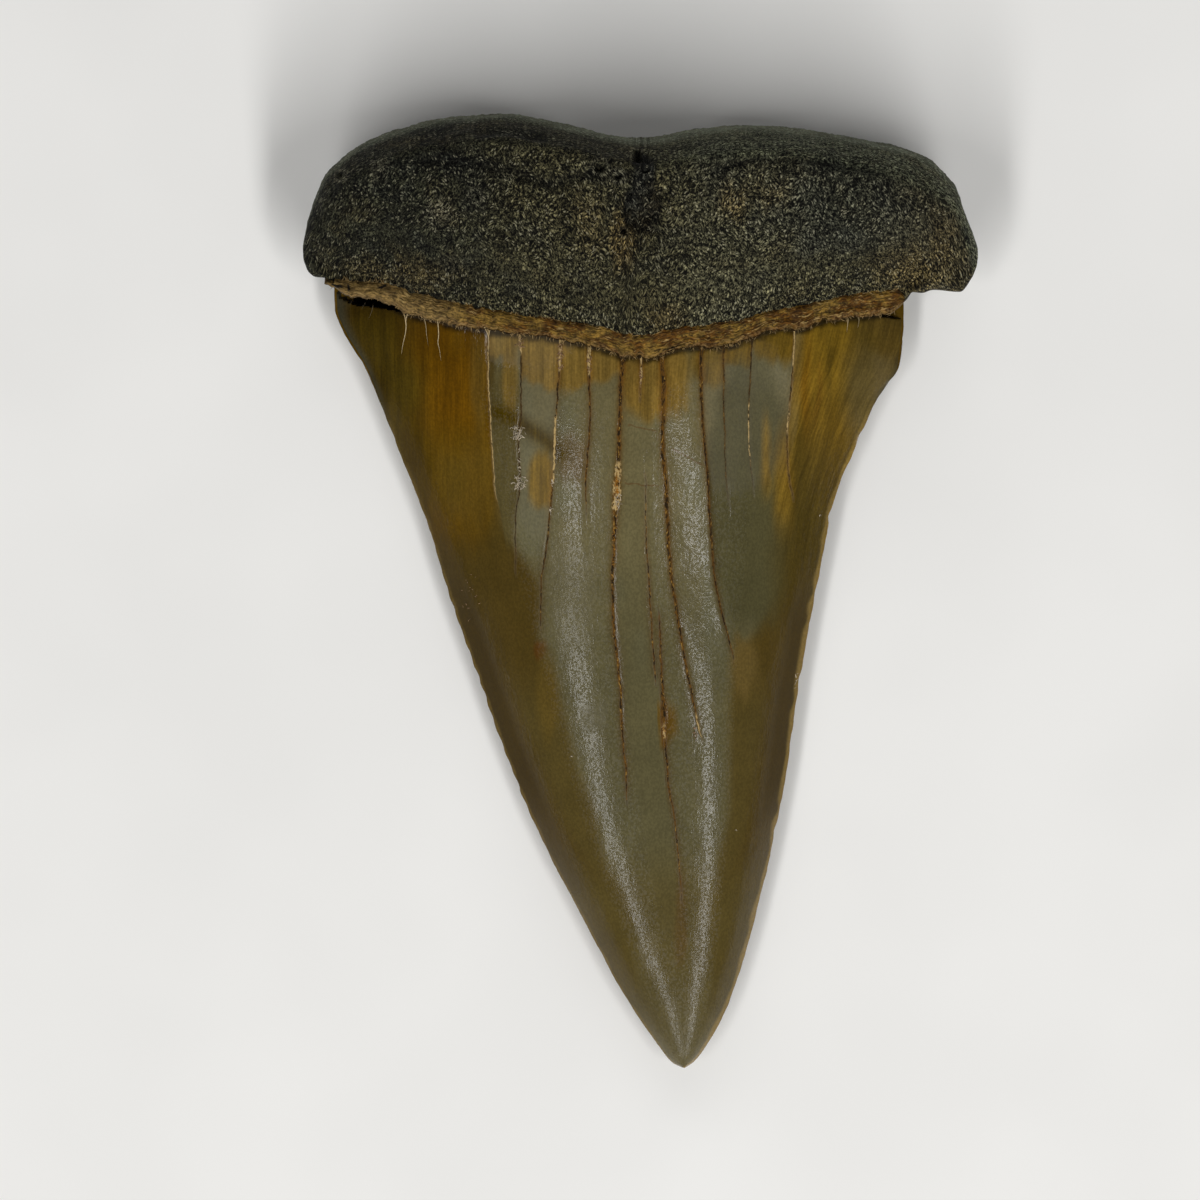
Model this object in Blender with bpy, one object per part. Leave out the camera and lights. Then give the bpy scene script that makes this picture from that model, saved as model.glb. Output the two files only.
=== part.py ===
"""A fossil mako shark tooth, lying on its labial (outer) face with its lingual (inner) face up.

One solid: a root with two lobes, a neck band, and a crown that ends in a point. Sizes are in millimetres
in the tooth's own frame, +X across the tooth, +Y from the point towards the root, +Z up out of the
lingual face, and become metres when a mesh is made. The origin is under the middle of the tooth.
"""

import math

import bmesh
import bpy
import numpy as np

MM = 0.001

# Driving dimensions
LENGTH = 63.0
WIDTH = 44.4
ROOT_THICKNESS = 13.3
CROWN_THICKNESS = 8.7
HALF_LENGTH = LENGTH / 2
HALF_WIDTH = WIDTH / 2

# Root, all as (x, y) points seen from above
BASAL_EDGE = [
    (-HALF_WIDTH, 23.1),
    (-21.8, 25.0),
    (-20.5, 27.9),
    (-17.2, 30.1),
    (-13.2, 31.2),
    (-9.2, HALF_LENGTH),
    (-5.3, 30.85),
    (0.0, 29.85),
    (4.0, 30.5),
    (7.3, 30.7),
    (14.6, 29.9),
    (18.6, 28.8),
    (20.6, 27.1),
    (21.8, 24.0),
    (HALF_WIDTH, 22.9),
]
NECK_EDGE = [
    (-HALF_WIDTH, 21.9),
    (-21.9, 21.2),
    (-21.2, 20.7),
    (-20.2, 20.0),
    (-18.6, 19.8),
    (-16.0, 19.2),
    (-12.5, 17.9),
    (-7.0, 16.7),
    (-3.0, 15.8),
    (0.3, 15.1),
    (3.6, 15.9),
    (8.0, 16.9),
    (12.5, 18.0),
    (17.0, 18.6),
    (18.0, 19.4),
    (19.4, 20.05),
    (21.1, 19.9),
    (21.9, 20.8),
    (HALF_WIDTH, 21.5),
]
LEFT_LOBE_START = -20.4
RIGHT_LOBE_START = 17.7
LOBE_BLEND = 1.2
BAND_WIDTH = 1.05
BAND_RISE = 0.3
CREST_INSET = 2.7
BASAL_EDGE_SHARE = 0.3
WALL_TUCK = 0.25
LABIAL_STEP = 0.3
CREST_HEIGHT = [
    (-HALF_WIDTH, 5.4),
    (-21.4, 7.2),
    (-19.5, 9.3),
    (-16.0, 11.2),
    (-9.0, 12.9),
    (-1.0, ROOT_THICKNESS),
    (7.0, 12.9),
    (14.0, 11.5),
    (18.5, 9.6),
    (21.4, 7.0),
    (HALF_WIDTH, 5.4),
]
LABIAL_HEIGHT = [
    (-HALF_WIDTH, 3.6),
    (-21.4, 2.1),
    (-18.5, 1.1),
    (-12.0, LABIAL_STEP),
    (12.0, LABIAL_STEP),
    (18.0, 1.1),
    (21.4, 2.3),
    (HALF_WIDTH, 3.6),
]
NECK_HEIGHT = [
    (-HALF_WIDTH, 4.5),
    (-20.0, 5.3),
    (-14.0, 5.4),
    (0.0, 4.0),
    (14.0, 4.0),
    (17.2, 4.3),
    (19.5, 5.0),
    (HALF_WIDTH, 4.6),
]
NECK_STEP = 0.1
UNEVENNESS = 0.15
NECK_BLEND = 0.5

# Crown, its two cutting edges as (y, x) points seen from above
INSIDE_ROOT = 24.0
TIP_X = 2.9
LEFT_CUTTING_EDGE = [
    (-HALF_LENGTH, TIP_X - 0.15),
    (-31.2, 2.15),
    (-30.3, 1.4),
    (-27.0, -0.85),
    (-21.7, -3.75),
    (-16.4, -6.5),
    (-11.1, -8.75),
    (-5.9, -10.6),
    (-0.6, -12.5),
    (4.7, -14.15),
    (8.7, -15.7),
    (12.0, -17.0),
    (14.9, -18.25),
    (17.3, -19.7),
    (18.8, -20.25),
    (INSIDE_ROOT, -20.4),
]
RIGHT_CUTTING_EDGE = [
    (-HALF_LENGTH, TIP_X + 0.15),
    (-31.2, 3.5),
    (-30.3, 4.25),
    (-29.0, 5.05),
    (-26.4, 6.2),
    (-21.7, 7.6),
    (-13.8, 9.4),
    (-5.9, 10.6),
    (2.1, 12.05),
    (6.1, 12.9),
    (11.0, 14.9),
    (12.7, 15.7),
    (15.0, 17.2),
    (18.3, 17.5),
    (INSIDE_ROOT, 17.5),
]
LINGUAL_HEIGHT = [
    (-HALF_LENGTH, 2.75),
    (-30.5, 3.35),
    (-28.0, 3.95),
    (-21.5, 5.0),
    (-11.5, 6.3),
    (-1.5, 7.4),
    (8.5, 8.2),
    (16.0, CROWN_THICKNESS),
    (INSIDE_ROOT, 8.8),
]
LABIAL_LIFT = [
    (-HALF_LENGTH, 1.85),
    (-30.5, 1.4),
    (-27.0, 0.75),
    (-21.5, 0.2),
    (-16.5, 0.0),
    (INSIDE_ROOT, 0.0),
]
EDGE_HEIGHT = [(-HALF_LENGTH, 2.3), (-25.0, 2.1), (-10.0, 1.9), (18.0, 2.4), (INSIDE_ROOT, 2.6)]
LENS_POWER = 2.1
FLAT_SHARE = 0.45
LABIAL_POWER = 1.8
ENAMEL_BASE = 20.3
ENAMEL_ARCH = 1.6

# Openings in the root as (x, y, radius, depth)
FORAMINA = [
    (-0.1, 29.0, 0.35, 1.2),
    (0.4, 28.0, 0.3, 1.2),
    (-2.7, 28.1, 0.4, 0.6),
    (-1.5, 27.5, 0.35, 0.6),
    (-19.8, 27.5, 0.35, 0.8),
    (-1.0, 23.7, 0.3, 0.9),
]
HOLLOW_PLACE = (0.0, 26.0)
HOLLOW_SIZE = (1.5, 2.6, 0.7)

# Cracks down the crown as (x, y) points seen from above
CRACKS = {
    "crack_left": [(-5.1, 16.2), (-5.6, 9.8), (-5.9, 5.3), (-6.5, 0.7), (-6.5, -2.8)],
    "crack_left_middle": [(-3.4, 15.4), (-3.3, 11.2), (-3.6, 7.4)],
    "crack_middle": [(-1.2, 15.2), (-1.4, 10.5), (-1.6, 6.4), (-1.8, 0.2), (-1.5, -4.2), (-1.0, -11.3)],
    "crack_right_middle": [(1.4, 15.2), (1.4, 9.8), (1.9, 2.7), (3.0, -5.2), (4.0, -9.9)],
    "crack_right": [(4.0, 15.5), (4.1, 10.5), (4.6, 4.4), (5.8, -2.9), (6.2, -4.8)],
    "crack_shoulder": [(7.3, 16.5), (7.1, 10.5), (7.5, 5.9)],
}
CRACK_WIDTH = 0.3
CRACK_DEPTH = 0.35
CRACK_END = 0.06

# Mesh resolution
ROOT_SECTIONS = 54
CROWN_SECTIONS = 44
CROWN_COLUMNS = 20
SPAN_STEPS = 2


def curve_through(points):
    """A smooth function through the points that doesn't overshoot between them."""
    knots = np.array([p[0] for p in points], float)
    values = np.array([p[1] for p in points], float)
    widths = np.diff(knots)
    slopes = np.diff(values) / widths
    tangents = np.zeros(len(knots))
    tangents[0], tangents[-1] = slopes[0], slopes[-1]
    before, after = slopes[:-1], slopes[1:]
    same_way = before * after > 0
    sums = np.where(same_way, before + after, 1.0)
    tangents[1:-1] = np.where(same_way, 2 * before * after / sums, 0.0)

    def value(at):
        i = np.clip(np.searchsorted(knots, at) - 1, 0, len(widths) - 1)
        t = np.clip((at - knots[i]) / widths[i], 0.0, 1.0)
        start = values[i] * (1 + 2 * t) * (1 - t) ** 2 + tangents[i] * widths[i] * t * (1 - t) ** 2
        end = values[i + 1] * t * t * (3 - 2 * t) - tangents[i + 1] * widths[i] * t * t * (1 - t)
        return start + end

    return value


def smooth_step(low, high, at):
    """0 below low, 1 above high, and a smooth rise between them."""
    t = np.clip((at - low) / (high - low), 0.0, 1.0)
    return t * t * (3 - 2 * t)


basal_edge = curve_through(BASAL_EDGE)
neck_edge = curve_through(NECK_EDGE)
least_neck_height = curve_through(NECK_HEIGHT)
crest_height = curve_through(CREST_HEIGHT)
labial_height = curve_through(LABIAL_HEIGHT)
left_cutting_edge = curve_through(LEFT_CUTTING_EDGE)
right_cutting_edge = curve_through(RIGHT_CUTTING_EDGE)
lingual_height = curve_through(LINGUAL_HEIGHT)
labial_lift = curve_through(LABIAL_LIFT)
edge_height = curve_through(EDGE_HEIGHT)


def across(x, y):
    """Where x lies across the crown at y: -1 at the left cutting edge, 1 at the right one."""
    left, right = left_cutting_edge(y), right_cutting_edge(y)
    return (2 * x - left - right) / (right - left)


def crown_lingual(u, y):
    """Height of the crown's domed lingual face."""
    dome = 1 - np.abs(u) ** LENS_POWER
    return edge_height(y) + (lingual_height(y) - edge_height(y)) * dome


def crown_labial(u, y):
    """Height of the crown's labial face: flat in the middle, rising to the cutting edges."""
    rise = np.clip((np.abs(u) - FLAT_SHARE) / (1 - FLAT_SHARE), 0.0, 1.0) ** LABIAL_POWER
    return labial_lift(y) + (edge_height(y) - labial_lift(y)) * rise


def lobe_share(x):
    """0 where the root stands over the crown, 1 on the free ends of its two lobes."""
    left = 1 - smooth_step(LEFT_LOBE_START - LOBE_BLEND, LEFT_LOBE_START, x)
    right = smooth_step(RIGHT_LOBE_START, RIGHT_LOBE_START + LOBE_BLEND, x)
    return max(left, right)


def neck_height(x):
    """Height of the root at its neck: just over the enamel, or above it on the crown's thin shoulders."""
    y = neck_edge(x)
    u = float(np.clip(across(x, y), -1.0, 1.0))
    over_crown = crown_lingual(u, y) + NECK_STEP
    own = least_neck_height(x)
    return (over_crown + own + math.hypot(over_crown - own, NECK_BLEND)) / 2


def root_section(x):
    """The root's outline at x as (y, z) points: labial side, crest, neck, then the wall inside the crown."""
    neck, basal = neck_edge(x), basal_edge(x)
    depth = basal - neck
    crest = basal - min(CREST_INSET, 0.42 * depth)
    low, high, neck_top = labial_height(x), crest_height(x), neck_height(x)
    rim = low + BASAL_EDGE_SHARE * (high - low)
    share = lobe_share(x)
    band_width = min(BAND_WIDTH, 0.2 * depth)
    band_top = neck + band_width
    face = crest - band_top
    rise = high - neck_top
    labial_face = [
        (neck + WALL_TUCK + 0.12 * depth * share, low),
        (neck + 0.45 * depth, low),
        (basal - 0.12 * depth, low + 0.12 * (high - low)),
    ]
    basal_face = [
        (basal, rim),
        (basal - 0.25 * (basal - crest), rim + 0.45 * (high - rim)),
        (crest + 0.35 * (basal - crest), high - 0.1 * (high - low)),
        (crest, high),
    ]
    lingual_face = [
        (crest - 0.25 * face, high - 0.06 * rise),
        (crest - 0.55 * face, high - 0.3 * rise),
        (band_top + 0.15 * face, neck_top + 0.3 * rise),
        (band_top, neck_top + 0.03 + 0.2 * rise * share),
    ]
    bone = through_spline(labial_face + basal_face + lingual_face, SPAN_STEPS)
    bone = [(y, z + uneven(x, y) * (z > rim)) for y, z in bone]
    raised = BAND_RISE * (1 - share)
    band = [
        (band_top - 0.3 * band_width, neck_top + 0.05 + raised + 0.14 * rise * share),
        (neck + 0.25 * band_width, neck_top + raised + 0.02 * rise * share),
        (neck, neck_top - 0.2 * (1 + share)),
    ]
    wall = [(neck + 0.3 * WALL_TUCK * (1 - share), (neck_top + low) / 2)]
    return bone + band + wall


def uneven(x, y):
    """Gentle swells in the root's bone, added to its height."""
    long_swell = math.sin(0.55 * x + 0.8) * math.sin(0.5 * y + 0.3 * x)
    short_swell = math.sin(1.15 * x - 0.7 * y + 2.0)
    return UNEVENNESS * (0.6 * long_swell + 0.4 * short_swell)


def through_spline(points, steps):
    """Points along a smooth open line through the given points, with steps to each span."""
    line = []
    for i in range(len(points) - 1):
        before = points[max(i - 1, 0)]
        start, end = points[i], points[i + 1]
        after = points[min(i + 2, len(points) - 1)]
        for step in range(steps):
            t = step / steps
            line.append(tuple(catmull_rom(before[k], start[k], end[k], after[k], t) for k in (0, 1)))
    line.append(points[-1])
    return line


def catmull_rom(before, start, end, after, t):
    """One coordinate of a Catmull-Rom curve, t of the way from start to end."""
    square = (2 * before - 5 * start + 4 * end - after) * t * t
    cube = (3 * start - before - 3 * end + after) * t ** 3
    return 0.5 * (2 * start + (end - before) * t + square + cube)


def loft(name, rings, collection, material=None):
    """A closed mesh through rings of points, with a flat cap on the first and the last ring."""
    mesh = bmesh.new()
    rows = [[mesh.verts.new((x * MM, y * MM, z * MM)) for x, y, z in ring] for ring in rings]
    count = len(rings[0])
    for low, high in zip(rows, rows[1:]):
        for i in range(count):
            j = (i + 1) % count
            mesh.faces.new((low[i], low[j], high[j], high[i]))
    mesh.faces.new(rows[0][::-1])
    mesh.faces.new(rows[-1])
    bmesh.ops.recalc_face_normals(mesh, faces=mesh.faces)
    return finish_object(name, mesh, collection, material)


def finish_object(name, mesh, collection, material=None):
    """Turns a bmesh into an object in the collection. With no material it is a cutter or a piece to join."""
    data = bpy.data.meshes.new(name)
    mesh.to_mesh(data)
    mesh.free()
    made = bpy.data.objects.new(name, data)
    collection.objects.link(made)
    if material is None:
        made.hide_render = True
        made.display_type = "WIRE"
    else:
        data.materials.append(material)
    return made


def make_root(collection, material):
    """The root, a loft of sections from lobe to lobe, closer together at the two ends."""
    turns = np.linspace(-0.97, 0.97, ROOT_SECTIONS)
    places = HALF_WIDTH * np.sin(turns * math.pi / 2) / math.sin(0.97 * math.pi / 2)
    rings = [[(x, y, z) for y, z in root_section(float(x))] for x in places]
    return loft("tooth", rings, collection, material)


def crown_ring(y, along):
    """One ring round the crown. Near the root it follows the arched base of the labial enamel."""
    columns = np.sin(np.linspace(-1, 1, CROWN_COLUMNS + 1) * math.pi / 2)
    left, right = left_cutting_edge(y), right_cutting_edge(y)
    middle, half = (left + right) / 2, (right - left) / 2
    arch = ENAMEL_ARCH * along * (1 - columns ** 2)
    lingual = [(middle + half * u, y, crown_lingual(u, y)) for u in columns]
    labial = [
        (middle + half * u, y - a, crown_labial(u, y)) for u, a in zip(columns[-2:0:-1], arch[-2:0:-1])
    ]
    return lingual + labial


def make_crown(collection):
    """The crown, a loft of lens-shaped sections from the point to inside the root."""
    share = np.linspace(0, 1, CROWN_SECTIONS)
    places = -HALF_LENGTH + (ENAMEL_BASE + HALF_LENGTH) * share ** 1.35
    near_root = smooth_step(0.75, 1.0, share)
    rings = [crown_ring(float(y), float(along)) for y, along in zip(places, near_root)]
    return loft("crown", rings, collection)


def drill(name, place, radius, depth, surface, collection):
    """A small tapered opening that goes down into the root's surface."""
    mesh = bmesh.new()
    bmesh.ops.create_cone(
        mesh,
        cap_ends=True,
        segments=10,
        radius1=0.6 * radius * MM,
        radius2=radius * MM,
        depth=2 * depth * MM,
    )
    made = finish_object(name, mesh, collection)
    made.location = (place[0] * MM, place[1] * MM, surface * MM)
    return made


def root_surface(x, y):
    """Height of the root's lingual side at a point seen from above."""
    section = sorted(p for p in root_section(x) if p[1] > ROOT_THICKNESS / 3)
    return float(np.interp(y, [p[0] for p in section], [p[1] for p in section]))


def make_foramina(collection):
    """The nutrient openings in the root."""
    drills = []
    for number, (x, y, radius, depth) in enumerate(FORAMINA):
        name = f"foramen_{number}"
        drills.append(drill(name, (x, y), radius, depth, root_surface(x, y), collection))
    return drills


def make_hollow(collection):
    """The shallow hollow in the middle of the root."""
    mesh = bmesh.new()
    bmesh.ops.create_uvsphere(mesh, u_segments=14, v_segments=8, radius=1.0)
    for vert in mesh.verts:
        vert.co.x *= HOLLOW_SIZE[0] * MM
        vert.co.y *= HOLLOW_SIZE[1] * MM
        vert.co.z *= HOLLOW_SIZE[2] * MM
    made = finish_object("hollow", mesh, collection)
    x, y = HOLLOW_PLACE
    made.location = (x * MM, y * MM, (root_surface(x, y) + 0.25) * MM)
    made.rotation_euler.x = math.radians(17)
    return made


def make_crack(name, path, collection):
    """A wedge that runs down the crown's lingual face and narrows at its two ends."""
    line = through_spline(path, 4)
    rings = []
    for number, (x, y) in enumerate(line):
        share = number / (len(line) - 1)
        open_share = min(1.0, 6 * share + 0.3, 5 * (1 - share))
        half = max(CRACK_END, CRACK_WIDTH * open_share) / 2
        deep = CRACK_DEPTH * max(0.25, open_share)
        surface = crown_lingual(across(x, y), y)
        rings.append(
            [
                (x - half, y, surface + 0.25),
                (x, y, surface - deep),
                (x + half, y, surface + 0.25),
            ]
        )
    return loft(name, rings, collection)


def join_and_cut(body, joined, cutters):
    """Adds the joined piece to the body, then takes the cutters away from it."""
    union = body.modifiers.new(joined.name, "BOOLEAN")
    union.operation = "UNION"
    union.solver = "EXACT"
    union.object = joined
    for cutter in cutters:
        cut = body.modifiers.new(cutter.name, "BOOLEAN")
        cut.operation = "DIFFERENCE"
        cut.solver = "EXACT"
        cut.object = cutter


def fossil_material():
    """Dark grey-brown fossil root and enamel."""
    material = bpy.data.materials.new("fossil")
    material.use_nodes = True
    shader = material.node_tree.nodes["Principled BSDF"]
    shader.inputs["Base Color"].default_value = (0.09, 0.075, 0.04, 1.0)
    shader.inputs["Roughness"].default_value = 0.42
    shader.inputs["Metallic"].default_value = 0.0
    return material


def new_collection(name):
    """A collection of that name, in the scene."""
    made = bpy.data.collections.new(name)
    bpy.context.scene.collection.children.link(made)
    return made


def main():
    for old in list(bpy.data.objects):
        bpy.data.objects.remove(old, do_unlink=True)
    parts = new_collection("fossil_mako_tooth")
    cutters = new_collection("joined_and_cutters")
    root = make_root(parts, fossil_material())
    crown = make_crown(cutters)
    holes = make_foramina(cutters) + [make_hollow(cutters)]
    cracks = [make_crack(name, path, cutters) for name, path in CRACKS.items()]
    join_and_cut(root, crown, holes + cracks)


main()
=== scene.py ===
"""Looks of a fossil mako shark tooth, lying on its labial (outer) face with its lingual (inner) face up.

Sizes are in millimetres in the tooth's own frame, +X across the tooth, +Y from the point towards the
root, +Z up out of the lingual face, and become metres when a mesh is made. The root, the neck band and
the crown repeat the main dimensions of the solid that they stand for, with finer forms on them.
Colours are given as 0 to 255 screen values.
"""

import itertools
import math
from collections import namedtuple

import bpy
import numpy as np
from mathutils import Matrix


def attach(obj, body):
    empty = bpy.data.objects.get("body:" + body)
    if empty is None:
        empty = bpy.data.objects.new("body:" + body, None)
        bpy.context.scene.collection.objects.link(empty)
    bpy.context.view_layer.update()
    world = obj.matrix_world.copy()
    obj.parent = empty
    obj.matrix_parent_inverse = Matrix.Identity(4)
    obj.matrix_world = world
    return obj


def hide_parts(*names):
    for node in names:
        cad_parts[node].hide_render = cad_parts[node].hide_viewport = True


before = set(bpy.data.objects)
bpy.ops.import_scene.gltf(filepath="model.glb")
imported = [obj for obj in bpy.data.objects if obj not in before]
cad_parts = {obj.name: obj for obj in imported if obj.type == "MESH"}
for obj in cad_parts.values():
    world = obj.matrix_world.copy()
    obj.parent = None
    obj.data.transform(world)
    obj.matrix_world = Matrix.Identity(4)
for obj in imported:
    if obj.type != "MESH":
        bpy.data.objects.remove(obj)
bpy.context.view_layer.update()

MM = 0.001
BODY = "root"
NODE = "tooth"

# Driving dimensions, as in the solid
LENGTH = 63.0
WIDTH = 44.4
ROOT_THICKNESS = 13.3
CROWN_THICKNESS = 8.7
HALF_LENGTH = LENGTH / 2
HALF_WIDTH = WIDTH / 2

# Root, all as (x, y) points seen from above or (x, height)
BASAL_EDGE = [
    (-HALF_WIDTH, 23.1), (-21.8, 25.0), (-20.5, 27.9), (-17.2, 30.1), (-13.2, 31.2), (-9.2, HALF_LENGTH),
    (-5.3, 30.85), (0.0, 29.85), (4.0, 30.5), (7.3, 30.7), (14.6, 29.9), (18.6, 28.8), (20.6, 27.1),
    (21.8, 24.0), (HALF_WIDTH, 22.9),
]
NECK_EDGE = [
    (-HALF_WIDTH, 21.9), (-21.9, 21.2), (-21.2, 20.7), (-20.2, 20.0), (-18.6, 19.8), (-16.0, 19.2),
    (-12.5, 17.9), (-7.0, 16.7), (-3.0, 15.8), (0.3, 15.1), (3.6, 15.9), (8.0, 16.9), (12.5, 18.0),
    (17.0, 18.6), (18.0, 19.4), (19.4, 20.05), (21.1, 19.9), (21.9, 20.8), (HALF_WIDTH, 21.5),
]
LEFT_LOBE_START = -20.4
RIGHT_LOBE_START = 17.7
LOBE_BLEND = 1.2
BAND_WIDTH = 1.05
CREST_INSET = 2.7
BASAL_EDGE_SHARE = 0.3
WALL_TUCK = 0.25
NECK_SET_BACK = 0.45
LABIAL_STEP = 0.3
CREST_HEIGHT = [
    (-HALF_WIDTH, 5.4), (-21.4, 7.2), (-19.5, 9.3), (-16.0, 11.2), (-9.0, 12.9), (-1.0, ROOT_THICKNESS),
    (7.0, 12.9), (14.0, 11.5), (18.5, 9.6), (21.4, 7.0), (HALF_WIDTH, 5.4),
]
LABIAL_HEIGHT = [
    (-HALF_WIDTH, 3.6), (-21.4, 2.1), (-18.5, 1.1), (-12.0, LABIAL_STEP), (12.0, LABIAL_STEP), (18.0, 1.1),
    (21.4, 2.3), (HALF_WIDTH, 3.6),
]
NECK_HEIGHT = [
    (-HALF_WIDTH, 4.5), (-20.0, 5.3), (-14.0, 5.4), (0.0, 4.0), (14.0, 4.0), (17.2, 4.3), (19.5, 5.0),
    (HALF_WIDTH, 4.6),
]
NECK_STEP = 0.1
NECK_BLEND = 0.5
UNEVENNESS = 0.15

# Crown, its two cutting edges as (y, x) points seen from above, and its heights and shape as (y, value)
INSIDE_ROOT = 24.0
TIP_X = 2.9
LEFT_CUTTING_EDGE = [
    (-HALF_LENGTH, TIP_X - 0.15), (-31.2, 2.15), (-30.3, 1.4), (-27.0, -0.85), (-21.7, -3.75), (-16.4, -6.5),
    (-11.1, -8.75), (-5.9, -10.6), (-0.6, -12.5), (4.7, -14.15), (8.7, -15.7), (12.0, -17.0), (14.9, -18.25),
    (17.3, -19.7), (18.8, -20.25), (INSIDE_ROOT, -20.4),
]
RIGHT_CUTTING_EDGE = [
    (-HALF_LENGTH, TIP_X + 0.15), (-31.2, 3.5), (-30.3, 4.25), (-29.0, 5.05), (-26.4, 6.2), (-21.7, 7.6),
    (-13.8, 9.4), (-5.9, 10.6), (2.1, 12.05), (6.1, 12.9), (11.0, 14.9), (12.7, 15.7), (15.0, 17.2),
    (18.3, 17.5), (INSIDE_ROOT, 17.5),
]
LINGUAL_HEIGHT = [
    (-HALF_LENGTH, 2.75), (-30.5, 3.35), (-28.0, 3.95), (-21.5, 5.0), (-11.5, 6.3), (-1.5, 7.4), (8.5, 8.35),
    (12.5, 8.6), (16.0, CROWN_THICKNESS), (INSIDE_ROOT, 8.8),
]
LABIAL_LIFT = [
    (-HALF_LENGTH, 1.85), (-30.5, 1.4), (-27.0, 0.75), (-21.5, 0.2), (-16.5, 0.0), (INSIDE_ROOT, 0.0),
]
EDGE_HEIGHT = [(-HALF_LENGTH, 2.3), (-25.0, 2.1), (-10.0, 1.9), (18.0, 2.4), (INSIDE_ROOT, 2.6)]
DOME_POWER = [
    (-HALF_LENGTH, 2.0), (-28.0, 2.2), (-23.0, 3.0), (-15.0, 3.1), (-2.0, 2.45), (2.0, 2.1),
    (INSIDE_ROOT, 2.1),
]
DOME_SHIFT = [
    (-HALF_LENGTH, 0.08), (-28.0, 0.057), (-23.0, 0.045), (-15.0, 0.03), (0.0, 0.0), (INSIDE_ROOT, 0.0),
]
MIDLINE = [(-HALF_LENGTH, 2.9), (-20.0, 1.9), (-8.0, 0.6), (5.0, -0.3), (INSIDE_ROOT, -0.4)]
FLAT_SHARE = 0.45
LABIAL_POWER = 1.8
ENAMEL_BASE = 20.3
ENAMEL_ARCH = 1.6
# Chips of the right cutting edge: y, reach and depth
RIGHT_CHIPS = [(5.0, 0.35, 0.14), (10.3, 0.5, 0.12), (-5.9, 0.5, 0.1), (-15.8, 0.4, 0.08), (13.9, 0.5, 0.1)]

# The enamel's upper border where it shows under the neck band, and how far the surface drops behind it
ENAMEL_END = [
    (-21.0, 20.1), (-19.95, 19.95), (-19.7, 19.45), (-19.2, 19.15), (-18.5, 18.95), (-17.1, 18.75),
    (-15.8, 18.5), (-14.8, 18.45), (-13.6, 18.5), (14.6, 18.9), (15.8, 18.2), (17.5, 18.1),
]
ENAMEL_DROP = 2.4
DROP_SHARE = 0.85
DROP_WIDTH = 0.14
NECK_DIP = 0.2

# Neck band, its two borders as (x, y) points seen from above
BAND_LOWER = [
    (-20.6, 20.1), (-20.0, 19.9), (-18.7, 19.35), (-17.4, 19.25), (-16.2, 18.75), (-15.4, 18.3),
    (-14.0, 17.95), (-12.5, 17.55), (-10.1, 17.1), (-8.6, 16.9), (-6.4, 16.7), (-5.0, 16.4), (-3.0, 15.9),
    (-1.6, 15.5), (-1.2, 15.15), (-0.6, 15.35), (0.4, 15.2), (1.3, 15.4), (2.4, 15.8), (3.5, 15.9),
    (5.6, 16.05), (7.3, 16.6), (9.6, 17.25), (10.2, 17.15), (12.2, 17.8), (16.0, 18.3), (17.45, 18.75),
]
BAND_UPPER = [
    (-20.8, 20.6), (-18.0, 20.4), (-16.1, 20.3), (-14.9, 19.75), (-13.6, 19.3), (-11.3, 18.8), (-8.4, 18.15),
    (-5.4, 17.7), (-2.5, 17.2), (0.2, 16.7), (1.8, 17.1), (5.5, 17.65), (11.2, 19.0), (15.1, 19.7),
    (17.45, 19.95),
]
BAND_RISE = 0.32
# Short dark splits in the band
BAND_SPLITS = [
    ((-19.15, 20.3), (-19.2, 19.6)), ((-20.4, 20.2), (-19.4, 20.0)), ((-16.6, 20.2), (-17.4, 19.9)),
]

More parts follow.
